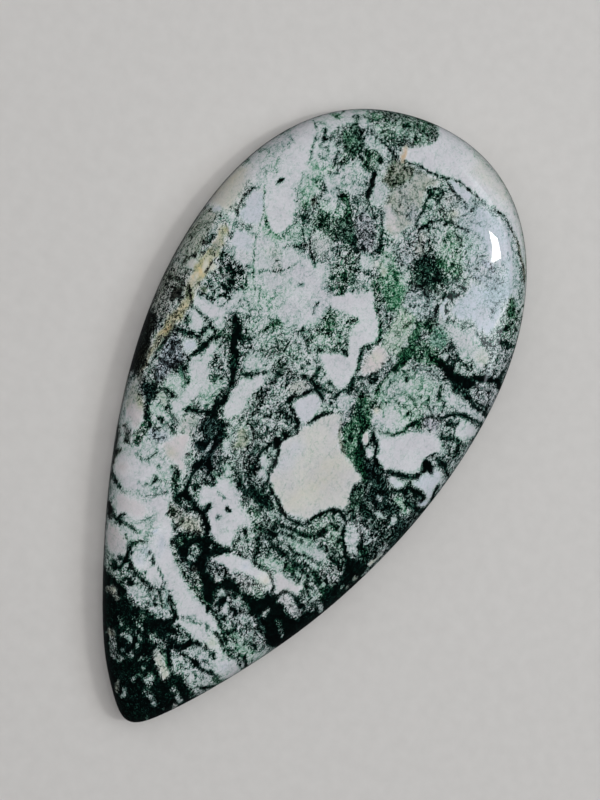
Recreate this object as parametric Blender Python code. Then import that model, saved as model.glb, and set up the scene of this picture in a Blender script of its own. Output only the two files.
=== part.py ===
"""A tree agate cabochon: one polished pear-shaped stone, lying on its flat back.

Metres, +Z up. The origin is at the middle of the flat back, +Y runs along the stone to
its wide end, and the narrow tip points to -Y.
"""
import math

import bmesh
import bpy
import numpy as np

MM = 0.001

# Driving dimensions, in millimetres
RIM_POINTS = [
    (0.2, 27.8), (7.3, 25.85), (12.2, 20.1), (14.5, 11.9), (14.35, 3.0), (12.6, -5.5),
    (9.45, -14.0), (5.4, -21.4), (2.4, -25.8), (0.0, -27.8), (-2.4, -26.1), (-5.2, -22.3),
    (-9.1, -14.6), (-12.3, -6.3), (-14.2, 1.7), (-14.65, 9.6), (-13.0, 18.2), (-7.9, 25.2),
]
BACK_BEVEL = 0.45
WALL_TOP = 1.5
SHOULDER_RISE = 2.7
CROWN_RISE = 1.4
CROWN_HALF_WIDTH = 16.0
CROWN_HALF_LENGTH = 31.0
TOP_CENTRE = (0.0, 5.0)

# The shoulder's width, as a share of the way in from the rim to the top's centre, and the
# power of its rounding: 2 would be an ellipse, and above 2 it runs smoothly into the crown
SHOULDER_SHARE = 0.17
SHOULDER_POWER = 2.4

# How finely the faceted stone is cut
CHORDS_PER_SPAN = 8
SHOULDER_RINGS = 6
CROWN_RINGS = 6


def clear_scene():
    """Remove every object that is in the scene."""
    for thing in list(bpy.data.objects):
        bpy.data.objects.remove(thing, do_unlink=True)


def spline_controls(points):
    """The control points whose closed uniform cubic B-spline passes through the points.

    At a knot such a spline is a sixth of the control point before, four sixths of its own
    and a sixth of the one after, so the controls are the answer of that ring of equations.
    """
    count = len(points)
    index = np.arange(count)
    matrix = np.zeros((count, count))
    matrix[index, index] = 4.0 / 6.0
    matrix[index, (index - 1) % count] = 1.0 / 6.0
    matrix[index, (index + 1) % count] = 1.0 / 6.0
    return np.linalg.solve(matrix, np.array(points))


def rim_outline():
    """The rim seen from above, as points with the same number of chords in every span."""
    controls = spline_controls(RIM_POINTS)
    count = len(controls)
    along = np.arange(count * CHORDS_PER_SPAN) / CHORDS_PER_SPAN
    span = np.floor(along).astype(int)
    f = (along - span)[:, None]
    before, own, after, last = (controls[(span + step) % count] for step in (-1, 0, 1, 2))
    return (
        (1 - f) ** 3 * before
        + (3 * f ** 3 - 6 * f ** 2 + 4) * own
        + (-3 * f ** 3 + 3 * f ** 2 + 3 * f + 1) * after
        + f ** 3 * last
    ) / 6.0


def inset_outline(outline, distance):
    """The outline moved inwards by a distance, square to its own direction."""
    along = np.roll(outline, -1, axis=0) - np.roll(outline, 1, axis=0)
    along /= np.linalg.norm(along, axis=1)[:, None]
    inwards = np.stack([along[:, 1], -along[:, 0]], axis=1)
    return outline + distance * inwards


def shrunk_outline(outline, share):
    """The outline drawn in towards the top's centre, to a share of its size."""
    centre = np.array(TOP_CENTRE)
    return centre + share * (outline - centre)


def crown_height(places):
    """The low crown: a bowl upside down, with an ellipse for every level line."""
    x, y = ((places - np.array(TOP_CENTRE)) / (CROWN_HALF_WIDTH, CROWN_HALF_LENGTH)).T
    return CROWN_RISE * (1.0 - x ** 2 - y ** 2)


def top_ring(outline, share, shoulder):
    """One ring of the polished top, with its height.

    The shoulder goes from 0 at the wall's top to 1 where the crown begins, and it lifts
    the stone's rise above the wall, crown and all.
    """
    places = shrunk_outline(outline, share)
    return places, WALL_TOP + shoulder * (SHOULDER_RISE + crown_height(places))


def section_rings(outline):
    """Every ring of the stone, from the flat back up to the crown, with its heights.

    The back is bevelled out to the rim, and the rim stands upright to the wall's top. The
    shoulder is a quarter of a superellipse, and the crown closes in over it.
    """
    level = np.zeros(len(outline))
    rings = [
        (inset_outline(outline, BACK_BEVEL), level),
        (outline, level + BACK_BEVEL),
        (outline, level + WALL_TOP),
    ]
    for step in range(1, SHOULDER_RINGS + 1):
        angle = 0.5 * math.pi * step / SHOULDER_RINGS
        share = 1.0 - SHOULDER_SHARE * (1.0 - math.cos(angle))
        shoulder = (1.0 - math.cos(angle) ** SHOULDER_POWER) ** (1.0 / SHOULDER_POWER)
        rings.append(top_ring(outline, share, shoulder))
    for step in range(1, CROWN_RINGS + 1):
        share = (1.0 - SHOULDER_SHARE) * (1.0 - step / (CROWN_RINGS + 1))
        rings.append(top_ring(outline, share, 1.0))
    return rings


def place_ring(ring, places, heights):
    """Put a ring's vertices on an outline, each at its own height."""
    for vertex, (x, y), z in zip(ring, places, heights):
        vertex.co = (x * MM, y * MM, z * MM)


def extrude_ring(mesh, ring):
    """Extrude the ring's edges, and give the new ring's vertices in the same order."""
    edges = [mesh.edges.get((ring[step - 1], ring[step])) for step in range(len(ring))]
    grown = bmesh.ops.extrude_edge_only(mesh, edges=edges)["geom"]
    fresh = {item for item in grown if isinstance(item, bmesh.types.BMVert)}
    return [
        next(edge.other_vert(vertex) for edge in vertex.link_edges if edge.other_vert(vertex) in fresh)
        for vertex in ring
    ]


def stone_mesh():
    """The stone as one closed body: its flat back, and ring after ring extruded up to the crown."""
    rings = section_rings(rim_outline())
    mesh = bmesh.new()
    ring = [mesh.verts.new((0.0, 0.0, 0.0)) for _ in rings[0][0]]
    place_ring(ring, *rings[0])
    mesh.faces.new(ring)
    for places, heights in rings[1:]:
        ring = extrude_ring(mesh, ring)
        place_ring(ring, places, heights)
    cap = mesh.faces.new(ring)
    middle = bmesh.ops.poke(mesh, faces=[cap])["verts"][0]
    place_ring([middle], [TOP_CENTRE], [WALL_TOP + SHOULDER_RISE + CROWN_RISE])
    bmesh.ops.recalc_face_normals(mesh, faces=mesh.faces)
    data = bpy.data.meshes.new("cabochon")
    mesh.to_mesh(data)
    mesh.free()
    return data


def stone_material():
    """Polished green and white agate, at its average colour."""
    material = bpy.data.materials.new("polished_tree_agate")
    material.use_nodes = True
    shader = material.node_tree.nodes["Principled BSDF"]
    shader.inputs["Base Color"].default_value = (0.22, 0.29, 0.24, 1.0)
    shader.inputs["Roughness"].default_value = 0.12
    shader.inputs["Metallic"].default_value = 0.0
    shader.inputs["IOR"].default_value = 1.54
    return material


def build_cabochon():
    """The one piece, at the origin, shaded smooth but for its back's edges."""
    data = stone_mesh()
    data.materials.append(stone_material())
    data.shade_smooth()
    data.set_sharp_from_angle(angle=math.radians(40.0))
    stone = bpy.data.objects.new("cabochon", data)
    bpy.context.scene.collection.objects.link(stone)
    return stone


clear_scene()
build_cabochon()
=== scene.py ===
"""The look of a tree agate cabochon: white agate with dark green moss-like markings.

The stone's shape and markings are in millimetres: +Y runs along the stone to its wide end,
+Z up out of the flat back, and +X across. Lamps, floor and camera are in metres.
"""

import math

import bpy
import numpy as np
from mathutils import Matrix, Vector


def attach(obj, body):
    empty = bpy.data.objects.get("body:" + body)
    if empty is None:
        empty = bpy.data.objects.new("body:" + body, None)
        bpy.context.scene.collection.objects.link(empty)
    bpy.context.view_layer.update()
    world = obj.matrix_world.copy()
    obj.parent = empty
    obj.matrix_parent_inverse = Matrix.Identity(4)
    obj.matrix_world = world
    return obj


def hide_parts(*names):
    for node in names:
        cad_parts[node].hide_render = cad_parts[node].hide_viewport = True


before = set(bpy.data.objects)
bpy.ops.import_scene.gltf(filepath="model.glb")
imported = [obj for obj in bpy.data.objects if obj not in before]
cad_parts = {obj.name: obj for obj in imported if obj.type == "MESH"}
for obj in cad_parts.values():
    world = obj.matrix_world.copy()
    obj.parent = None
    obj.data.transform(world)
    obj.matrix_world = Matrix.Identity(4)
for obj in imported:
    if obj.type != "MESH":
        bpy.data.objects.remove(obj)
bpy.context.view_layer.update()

# The stone
# One slice of white agate, cut to a pear outline, ground flat behind, bevelled at the back
# edge and polished over a low dome with a full round shoulder.
MM = 0.001
RIM_POINTS = [
    (0.2, 27.8), (7.3, 25.85), (12.2, 20.1), (14.5, 11.9), (14.35, 3.0), (12.6, -5.5),
    (9.45, -14.0), (5.4, -21.4), (2.4, -25.8), (0.0, -27.8), (-2.4, -26.1), (-5.2, -22.3),
    (-9.1, -14.6), (-12.3, -6.3), (-14.2, 1.7), (-14.65, 9.6), (-13.0, 18.2), (-7.9, 25.2),
]
TIP_POINT = 9
TIP_TURN = 0.625
FINE_STEPS = 240
BACK_BEVEL = 0.45
WALL_TOP = 1.5
SHOULDER_RISE = 2.7
CROWN_RISE = 1.4
CROWN_HALF_WIDTH = 16.0
CROWN_HALF_LENGTH = 31.0
TOP_CENTRE = np.array([0.0, 5.0])
SHOULDER_SHARE = 0.17
SHOULDER_POWER = 2.4
TOP_CELLS = 264
WALL_RINGS = 6
CROWN_CELLS_SHARE = 0.76
BACK_GRID_SHARE = 0.985


def rim_outline(count):
    """Points evenly spaced along the rim, anticlockwise, with the tip five eighths round.

    The rim is a closed uniform cubic B-spline through the rim points: its controls come from
    the ring of equations that a sixth, four sixths and a sixth of three neighbours make.
    """
    points = np.roll(np.array(RIM_POINTS), -TIP_POINT, axis=0)[::-1]
    points = np.roll(points, 1, axis=0)
    number = len(points)
    index = np.arange(number)
    matrix = np.zeros((number, number))
    matrix[index, index] = 4.0 / 6.0
    matrix[index, (index - 1) % number] = 1.0 / 6.0
    matrix[index, (index + 1) % number] = 1.0 / 6.0
    controls = np.linalg.solve(matrix, points)
    along = np.arange(number * FINE_STEPS) / FINE_STEPS
    span = np.floor(along).astype(int)
    f = (along - span)[:, None]
    before, own, after, last = (controls[(span + step) % number] for step in (-1, 0, 1, 2))
    fine = (
        (1 - f) ** 3 * before
        + (3 * f ** 3 - 6 * f ** 2 + 4) * own
        + (-3 * f ** 3 + 3 * f ** 2 + 3 * f + 1) * after
        + f ** 3 * last
    ) / 6.0
    loop = np.vstack([fine, fine[:1]])
    run = np.r_[0.0, np.cumsum(np.linalg.norm(np.diff(loop, axis=0), axis=1))]
    wanted = ((np.arange(count) / count - TIP_TURN) % 1.0) * run[-1]
    return np.stack([np.interp(wanted, run, loop[:, axis]) for axis in (0, 1)], axis=1)


def inset_outline(outline, distance):
    """The outline moved inwards by a distance, square to its own direction."""
    along = np.roll(outline, -1, axis=0) - np.roll(outline, 1, axis=0)
    along /= np.linalg.norm(along, axis=1)[:, None]
    return outline + distance * np.stack([-along[:, 1], along[:, 0]], axis=1)


def square_to_round(cells):
    """A square grid laid over a round shape: each point's share of the way out, and its turn.

    The share is the larger of the two square coordinates, and the turn runs evenly along
    the sides of the square, so that every square ring becomes one ring of the shape.
    """
    line = np.linspace(-1.0, 1.0, cells + 1)
    u, v = (part.ravel() for part in np.meshgrid(line, line))
    share = np.maximum(np.abs(u), np.abs(v))
    safe = np.where(share > 0.0, share, 1.0)
    sideways = np.where(u > 0.0, v / safe, 4.0 - v / safe)
    upright = np.where(v > 0.0, 2.0 - u / safe, 6.0 + u / safe)
    turn = np.where(np.abs(u) >= np.abs(v), sideways, upright) / 8.0
    return share, turn % 1.0


def grid_faces(cells):
    """The four corners of every cell of a square grid, anticlockwise seen from above."""
    row, column = (part.ravel() for part in np.mgrid[0:cells, 0:cells])
    corner = row * (cells + 1) + column
    return np.stack([corner, corner + 1, corner + cells + 2, corner + cells + 1], axis=1)


def grid_border(cells):
    """The grid's border, anticlockwise from the middle of its right side."""
    step = np.arange(cells)
    side = cells + 1
    bottom, right = step, step * side + cells
    top, left = cells * side + cells - step, (cells - step) * side
    return np.roll(np.r_[right, top, left, bottom], -cells // 2)


def at_turn(outline, turn):
    """The outline's points at the given shares of its turn."""
    place = turn * len(outline)
    low = np.floor(place).astype(int) % len(outline)
    f = (place - np.floor(place))[:, None]
    return outline[low] * (1.0 - f) + outline[(low + 1) % len(outline)] * f


def top_surface(outline):
    """The dome: a superellipse quarter for the shoulder, which lifts a low crown.

    The crown is a bowl upside down with an ellipse for every level line: its height falls
    off with the squares of both distances from the top's centre.
    """
    way_out, turn = square_to_round(TOP_CELLS)
    bend = np.clip((1.0 - way_out) / (1.0 - CROWN_CELLS_SHARE), 0.0, 1.0) * 0.5 * math.pi
    crown_share = (1.0 - SHOULDER_SHARE) * way_out / CROWN_CELLS_SHARE
    shoulder_share = 1.0 - SHOULDER_SHARE * (1.0 - np.cos(bend))
    share = np.where(way_out < CROWN_CELLS_SHARE, crown_share, shoulder_share)
    lift = (1.0 - np.clip(np.cos(bend), 0.0, 1.0) ** SHOULDER_POWER) ** (1.0 / SHOULDER_POWER)
    places = TOP_CENTRE + share[:, None] * (at_turn(outline, turn) - TOP_CENTRE)
    x, y = ((places - TOP_CENTRE) / (CROWN_HALF_WIDTH, CROWN_HALF_LENGTH)).T
    height = WALL_TOP + lift * (SHOULDER_RISE + CROWN_RISE * (1.0 - x ** 2 - y ** 2))
    return np.c_[places, height]


def stone_surface():
    """All vertices and faces of the stone: dome, upright wall, bevel and flat back.

    The wall is the rim repeated at even heights. The back is a grid with half as many cells,
    and faces with five corners stitch its border to the bevel's foot.
    """
    outline = rim_outline(4 * TOP_CELLS)
    count = len(outline)
    points = [top_surface(outline)]
    faces = [grid_faces(TOP_CELLS)]
    total = len(points[0])
    upper = grid_border(TOP_CELLS)
    foot = inset_outline(outline, BACK_BEVEL)
    heights = np.linspace(WALL_TOP, BACK_BEVEL, WALL_RINGS + 1)[1:]
    rings = [np.c_[outline, np.full(count, height)] for height in heights]
    rings += [np.c_[(outline + foot) / 2, np.full(count, BACK_BEVEL / 2)], np.c_[foot, np.zeros(count)]]
    for ring in rings:
        lower = total + np.arange(count)
        faces.append(np.stack([lower, np.roll(lower, -1), np.roll(upper, -1), upper], axis=1))
        points.append(ring)
        total += count
        upper = lower
    back_cells = TOP_CELLS // 2
    way_out, turn = square_to_round(back_cells)
    back = TOP_CENTRE + BACK_GRID_SHARE * way_out[:, None] * (at_turn(foot, turn) - TOP_CENTRE)
    points.append(np.c_[back, np.zeros(len(back))])
    faces.append(grid_faces(back_cells)[:, ::-1] + total)
    inner = grid_border(back_cells) + total
    first, middle, last = upper[0::2], upper[1::2], np.roll(upper, -2)[0::2]
    stitches = np.stack([inner, np.roll(inner, -1), last, middle, first], axis=1)
    return np.vstack(points), faces, stitches


surface, quads, stitches = stone_surface()
stone_mesh = bpy.data.meshes.new("tree_agate")
all_faces = np.vstack(quads).tolist() + stitches.tolist()
stone_mesh.from_pydata((surface * MM).tolist(), [], all_faces)
stone_mesh.shade_smooth()
stone_mesh.set_sharp_from_angle(angle=math.radians(40.0))

# The markings
# Moss-like growth inside the white agate, seen through the polish: blue-white windows, pale
# green haze, feathery moss, and lines and masses that are nearly black. Some marks are painted
# light: shade and shadow along parts of the rim, and the window light's reflection on the
# wide end's right shoulder.


def lattice_noise(places, size, seed):
    """Smooth noise from -1 to 1: random slopes at lattice corners of a size, blended between."""
    cell = places / size
    low = np.floor(cell).astype(np.int64)
    f = cell - low
    ease = f ** 3 * (f * (f * 6.0 - 15.0) + 10.0)
    answer = np.zeros(len(places))
    for corner in np.ndindex(2, 2, 2):
        spot = low + corner
        code = spot[:, 0] * 73856093 ^ spot[:, 1] * 19349663 ^ spot[:, 2] * 83492791 ^ seed * 2654435
        code = (code ^ (code >> 13)) * 1274126177 & 0x7FFFFFFF
        code = (code ^ (code >> 16)) & 0xFFFF
        turn = code * (2.0 * math.pi / 65536.0)
        rise = ((code * 40503) & 0xFFFF) / 32768.0 - 1.0
        flat = np.sqrt(1.0 - rise ** 2)
        away = f - corner
        slope = away[:, 0] * flat * np.cos(turn) + away[:, 1] * flat * np.sin(turn) + away[:, 2] * rise
        weight = np.prod(np.where(np.array(corner) == 1, ease, 1.0 - ease), axis=1)
        answer += weight * slope
    return answer * 1.6


def layered_noise(places, size, seed, layers=3):
    """Several sheets of the smooth noise added up, each at half the size and strength."""
    total = np.zeros(len(places))
    for layer in range(layers):
        total += lattice_noise(places, size / 2.0 ** layer, seed + layer) / 2.0 ** layer
    return total


# Where each point of the surface reads the markings, in millimetres. The top reads them
# straight down. The wall and back read them some way off, more so with depth and towards the
# middle, as the growth bends in the slab. Edges are shaken a little, and more so down the wall.
BENDING_FROM = WALL_TOP + 0.4
BEND = 2.2
DRAW_IN = 0.06
DEEP_SHAKE = 4.0
LINE_SHAKE = 0.05
PATCH_SHAKE = 0.15
depth = np.clip(BENDING_FROM - surface[:, 2:], 0.0, None) / BENDING_FROM
bends = np.stack([layered_noise(surface, 2.6, seed, 4) for seed in (11, 23)], axis=1)
shake = np.stack([layered_noise(surface, 0.6, seed, 2) for seed in (37, 41)], axis=1)
shake *= 1.0 + DEEP_SHAKE * depth
towards_middle = (TOP_CENTRE - surface[:, :2]) * DRAW_IN
read_at = surface[:, :2] + depth * (BEND * bends + towards_middle)
fine_read_at = read_at + LINE_SHAKE * shake
ragged_read_at = read_at + PATCH_SHAKE * shake

# How softly an edge ends at each point, and how boldly a thread is drawn there, both near 1
edge_softness = 2.0 ** (1.2 * layered_noise(surface, 1.6, 53, 2))
boldness = 1.0 + 0.5 * layered_noise(surface, 0.8, 61, 2)

CRISPNESS = 1.7


def spread(level):
    """A level of moss as it is kept: middle levels drawn together, so that edges come out crisp.

    The level's distance from a half, as a share of a half, is raised to the crispness.
    """
    away = 2.0 * level - 1.0
    return 0.5 + 0.5 * np.sign(away) * np.abs(away) ** CRISPNESS


# The layers that every marking writes to: how mossy each point is, from 0 for clear white to 1
# for black, how broken up it is by fine growth, how leaf-green it is, and any stain's colour
# and strength. A few markings also paint light into them: shade and shadow along parts of the
# rim, and the window's reflection on the wide end's right shoulder. Under all the markings lies
# a middling moss of slow changes.
moss = spread(0.4 + 0.1 * layered_noise(surface, 3.0, 5))
busy = np.full(len(surface), 1.0)
leaf = np.full(len(surface), 0.25)
stain_and_painted_light = np.ones((len(surface), 3))
stain_and_painted_light_strength = np.zeros(len(surface))


def screen_colour(red, green, blue):
    """A colour as seen on a screen, from 0 to 255, turned to the linear values of light."""
    values = np.array([red, green, blue]) / 255.0
    return np.where(values <= 0.04045, values / 12.92, ((values + 0.055) / 1.055) ** 2.4)


# The stains' colours. Blue also tints the painted reflection of the window light on the wide
# end's right shoulder, brown also paints the shadow along the left rim, and beige also paints
# shade along the upper right rim.
CREAM = screen_colour(203, 200, 184)
PINK = screen_colour(206, 196, 196)
BLUE_AND_REFLECTION = screen_colour(188, 198, 214)
PEACH = screen_colour(214, 192, 170)
TAN = screen_colour(176, 166, 116)
OLIVE = screen_colour(118, 116, 84)
OCHRE = screen_colour(196, 158, 110)
BEIGE_AND_RIM_SHADE = screen_colour(171, 167, 152)
GOLD = screen_colour(212, 188, 138)
LIME = screen_colour(186, 200, 168)
SAND = screen_colour(192, 187, 164)
PURPLE = screen_colour(150, 142, 160)
BROWN_AND_RIM_SHADOW = screen_colour(70, 44, 36)
TEAL = screen_colour(120, 160, 160)


def lay(chosen, cover, level, broken, green, colour, strength):
    """Lay one marking over the chosen points, as thickly as its cover from 0 to 1."""
    if level is not None:
        moss[chosen] += (spread(level) - moss[chosen]) * cover
        busy[chosen] += (broken - busy[chosen]) * cover
    if green is not None:
        leaf[chosen] += (green - leaf[chosen]) * cover
    if colour is not None:
        stain_and_painted_light[chosen] += (colour - stain_and_painted_light[chosen]) * cover[:, None]
        stain_and_painted_light_strength[chosen] += (strength - stain_and_painted_light_strength[chosen]) * cover


def near(places, low, high):
    """The points whose reading place lies inside a box."""
    return np.flatnonzero(
        (places[:, 0] > low[0]) & (places[:, 0] < high[0])
        & (places[:, 1] > low[1]) & (places[:, 1] < high[1])
    )


def to_sides(places, starts, ends):
    """How far each place is from each straight side, and how far along it the nearest point is."""
    side = ends - starts
    length = np.maximum((side ** 2).sum(axis=1), 1e-9)
    away = places[:, None, :] - starts[None, :, :]
    along = np.clip((away * side[None, :, :]).sum(axis=2) / length, 0.0, 1.0)
    return np.linalg.norm(away - along[:, :, None] * side, axis=2), along


def patch(level, *corners, soft=0.16, broken=1.0, green=None, colour=None, strength=1.0):
    """A marking that fills an outline given as x, y, x, y and so on, with ragged edges.

    Its cover goes from 0 to 1 across the outline, over twice the soft distance there.
    """
    outline = np.array(corners, float).reshape(-1, 2)
    chosen = near(ragged_read_at, outline.min(axis=0) - 3.0 * soft, outline.max(axis=0) + 3.0 * soft)
    places = ragged_read_at[chosen]
    ends = np.roll(outline, -1, axis=0)
    distance = to_sides(places, outline, ends)[0].min(axis=1)
    x, y = places[:, :1], places[:, 1:]
    crosses = (outline[:, 1] > y) != (ends[:, 1] > y)
    rise = np.where(ends[:, 1] == outline[:, 1], 1.0, ends[:, 1] - outline[:, 1])
    meets = outline[:, 0] + (y - outline[:, 1]) * (ends[:, 0] - outline[:, 0]) / rise
    inside = (crosses & (x < meets)).sum(axis=1) % 2 == 1
    soft_here = soft * edge_softness[chosen]
    cover = np.clip(0.5 + np.where(inside, distance, -distance) / (2.0 * soft_here), 0.0, 1.0)
    lay(chosen, cover, level, broken, green, colour, strength)


LINE_GROWTH = 0.02


def line(level, *run, soft=0.085, broken=0.6, green=None, colour=None, strength=1.0):
    """A marking along a run of discs given as x, y, radius, x, y, radius and so on.

    The discs are joined by straight tapering strokes, bolder and fainter by turns, and a
    single disc is a spot. Its cover goes from 1 to 0 across the stroke's edge, over twice
    the soft distance.
    """
    discs = np.array(run, float).reshape(-1, 3)
    if len(discs) == 1:
        discs = np.vstack([discs, discs])
    reach = 2.0 * discs[:, 2].max() + soft
    chosen = near(fine_read_at, discs[:, :2].min(axis=0) - reach, discs[:, :2].max(axis=0) + reach)
    distance, along = to_sides(fine_read_at[chosen], discs[:-1, :2], discs[1:, :2])
    radius = discs[:-1, 2] + along * (discs[1:, 2] - discs[:-1, 2])
    outside = (distance - radius * boldness[chosen, None]).min(axis=1)
    cover = np.clip(0.5 - (outside - LINE_GROWTH) / (2.0 * soft), 0.0, 1.0)
    cover *= np.clip(0.3 + 0.7 * boldness[chosen], 0.3, 1.0)
    lay(chosen, cover, level, broken, green, colour, strength)


# The head: a white crescent along the upper right rim with painted shade at its edge, a beige
# middle with black strands, and the window's painted reflection on the right shoulder
patch(0.0, -0.6,27.3, -0.5,26.3, -1.2,25.8, -1.9,25, -2.6,24.4, -2.2,23.3, -1,23.65, 0,23.75, 1.2,23.7,
      2,24, 2.7,24.15, 3.8,23.9, 5,23.75, 6.5,23.6, 7.5,23.5, 8.4,23, 9.3,22.5, 10,22, 10.6,21.4, 11.5,20.3,
      12,19.6, 12.5,18.6, 12.3,17.6, 12.7,16.2, 15,15.5, 14,23, 8,28, 0,30)
patch(None, 3,28.5, 3,25, 8,24.3, 11.5,21.5, 13,17, 15,15.5, 14,23, 9,27, soft=0.8, colour=CREAM,
      strength=0.4)
# Painted shade: a greyer beige band along the upper right rim, where the shoulder turns away from the
# light.
line(0.2, 1.5,27.6,.2, 6.5,26.1,.25, 9.8,23.4,.25, 12.1,20.2,.25, 13.5,17.2,.2, soft=0.4, broken=0.7,
      colour=BEIGE_AND_RIM_SHADE, strength=0.5)
patch(0.55, -7.6,25.3, -6.2,26.1, -5,26.7, -3.5,27.4, -1.5,28.2, -0.6,27.8, -0.6,26.2, -1.3,25.8, -1.8,25.1,
      -2.6,24.6, -3.2,24.2, -3.9,24.2, -4.8,24.4, -6,24.9, broken=0.8, green=0.6)
patch(0.3, -4.5,24.2, -3,23.2, -2,23.2, -0.8,23.6, 3,23.6, 8,23.4, 10.5,21, 12,19, 12,15, 8,13, 4,13, 0,15,
      -3.5,18, -6,20, -6,23.5, soft=0.5, green=0.3)
# Painted reflection: the pane of window light mirrored on the right shoulder, a pale blue-white veil over
# the moss, with its crisp bright outer edge below.
patch(0.17, 3.6,23.5, 8,23.3, 10.3,21.2, 11.6,19.4, 12.1,17.8, 9.5,18.4, 6,18.2, 5,20, 3.8,21.4, soft=0.4,
      broken=0.8, green=0.1, colour=BLUE_AND_REFLECTION, strength=0.3)
patch(0.12, 5,23.2, 7.2,23.1, 8.5,22.2, 9.3,21.3, 10.1,20, 10.9,18.6, 11.1,17.4, 9.6,18, 8.6,19.8, 7.2,20.2,
      6.2,21.3, 5.2,21.2, soft=0.15, broken=0.7, green=0.1, colour=BLUE_AND_REFLECTION, strength=0.6)
# Painted reflection: the crisp bright outer edge of the mirrored window pane.
line(0.02, 7.1,23.2,.03, 8.5,22.2,.04, 9.3,21.3,.05, 10.1,20,.06, 10.8,18.6,.06, 11.05,17.2,.06,
      11.1,15.6,.05, soft=0.05, broken=0.5)
line(0.9, -4.9,25.8,.3, soft=0.15)
line(0.75, -4.6,26.2,.4, -4.3,26.4,.25, broken=1.2, green=0.7)
line(0.9, -3.2,26.1,.25)
line(0.85, -0.9,26.3,.2, -0.8,26.7,.12, broken=1.3)
line(0.85, -2.2,26.7,.15)
line(0.8, -1.7,27.2,.12, -1.8,26.3,.1)
line(0.85, -2.1,24.9,.2, -3,24.8,.2, -3.4,24.6,.16, broken=1.2)
line(0.76, -0.8,26.6,.3, -1.1,26,.35, -1.6,25.4,.35, -2.2,25,.3, soft=0.2, broken=1.3, green=0.5)
line(0.7, -1.9,25.4,.2, green=1.0)
line(0.4, -1.5,25.8,.4, soft=0.2)
line(0.55, -5.1,25.4,.35, broken=1.2, green=0.5)
line(0.8, -3.4,24.1,.15)
line(0.75, -3,27.25,.12, -1.2,27.45,.1)
line(0.26, -4.2,25.6,.3, -3.6,25.5,.25, -2.6,25.5,.25, soft=0.25, broken=1.1, green=0.6)
line(0.25, -5.2,24.9,.3, soft=0.25, broken=1.2)
line(0.15, -6.3,24.7,.35)
line(0.5, -5.6,25.7,.35, green=1.0)
line(0.12, -7.5,25.2,.4, -6.6,25.7,.2)
line(0.1, -7.7,24.4,.4)
line(0.7, -7,24.9,.08, -6.9,24.3,.15, -6.8,23.7,.25, green=0.6)
patch(0.8, -7.4,23.4, -6.8,23.7, -6.1,23.7, -5.6,23.1, -5.5,22.2, -5.9,21.5, -6.6,21.8, -7.1,22.3,
      -7.5,22.9, broken=0.8, green=0.7)
line(0.5, -6.4,21.5,.3, -6.6,20.9,.22, -6.9,20.3,.2, -7.4,19.6,.2, -7.6,19.3,.15, broken=1.0, green=0.9)
patch(0.15, -5.9,24, -4.6,23.9, -3.4,23.6, -3.1,23.3, -4,23, -4.6,22.9, -5.3,23.2, -5.8,23.5)
line(0.95, -4.6,23.95,.05, -4,23.85,.05, -3.4,23.6,.06, -2.9,23.4,.05)
line(0.75, -5.1,22.6,.3, -4.7,22.2,.3, green=0.9)
line(0.9, -4.1,22.6,.25, -3.8,22.5,.15, green=0.7)
line(0.7, -4.7,21.8,.3, -4.3,21.4,.2, green=0.9)
line(0.8, -5.2,21.8,.15)
patch(0.13, -6.2,21.2, -5.2,21.6, -4.2,20.9, -4,19.6, -4.8,18.9, -5.9,19, -6.3,20.2, green=0.4)
patch(0.1, -3.3,22.8, -3.1,21, -2,21, -2,20.2, -2.3,19.2, -3.2,19.2, -3.4,20.5, broken=0.8, colour=PURPLE,
      strength=0.25)
patch(0.5, -3.1,23.2, -1,23.4, -0.8,22.2, -1.8,21, -2.9,21, -3.1,22, green=0.7, colour=OLIVE, strength=0.8)
line(0.64, -4.5,22.7,.35, -4.4,21.8,.35, broken=0.9, green=0.9)
line(0.95, -3.9,21.4,.1, -3.7,21,.16, -3.5,20.5,.2, -3.5,19.9,.2, -3.4,19.4,.16, -3.4,19.3,.1, -3.1,19,.05,
      -2.8,18.85,.04, -2.4,18.5,.04, -2,18.2,.06)
line(0.68, -2.6,23.2,.25, -2.3,23.1,.2, -1.9,22.8,.2, -1.3,22.9,.15, broken=1.5, green=0.5)
line(0.62, -2.5,23.1,.2, -2.4,22.4,.25, broken=1.4)
line(0.65, -2.7,21.9,.15, -2.5,21.3,.3, -2.2,21.3,.15, broken=1.4)
line(0.7, -0.9,22.2,.1, -0.7,22.4,.08)
line(0.12, -2.5,24.4,.22, -2.4,23.8,.27, -2.2,23.4,.22, colour=OCHRE, strength=1.4)
line(0.95, -2,23.4,.06, -1,23.7,.06, 0.3,23.7,.05, 1.3,23.75,.06, 1.8,23.95,.07, 2.7,24.15,.08,
      3.8,23.95,.07, 5,23.75,.04)
line(0.9, 6.4,23.6,.05, 7.6,23.5,.06, 8.3,23.1,.07)
line(0.78, 8.3,23.1,.08, 9.2,22.5,.1, 9.8,22.1,.1, 10.4,21.3,.1, 11.1,20.7,.1, 11.8,19.8,.08, broken=1.4,
      colour=OLIVE)
line(0.25, 10.9,22.4,.1, 11.3,21.5,.12, 11.7,20.7,.08, soft=0.25, colour=TAN, strength=0.6)
line(0.75, 9.2,21,.05, 9.5,20.6,.05)
patch(0.05, 1.6,23.75, 2.1,23.95, 2.8,24, 3.6,23.85, 4.4,23.6, 4.2,23.2, 3.3,23.1, 2.7,23.2, 2.2,23.5,
      soft=0.1, colour=BLUE_AND_REFLECTION, strength=0.5)
line(0.95, 1.7,23.75,.06, 2.1,23.55,.09, 2.5,23.3,.1, 2.9,23.15,.08, 3.4,23,.08)
line(0.85, 3.9,22.9,.12, 4.1,22.8,.15, 4.3,22.5,.12)
line(0.85, 4.95,23,.06, 4.7,22.5,.06, 4.5,22.1,.06)
line(0.4, 4.4,23.4,.2, 5.4,23.4,.25, green=0.0)
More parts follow.
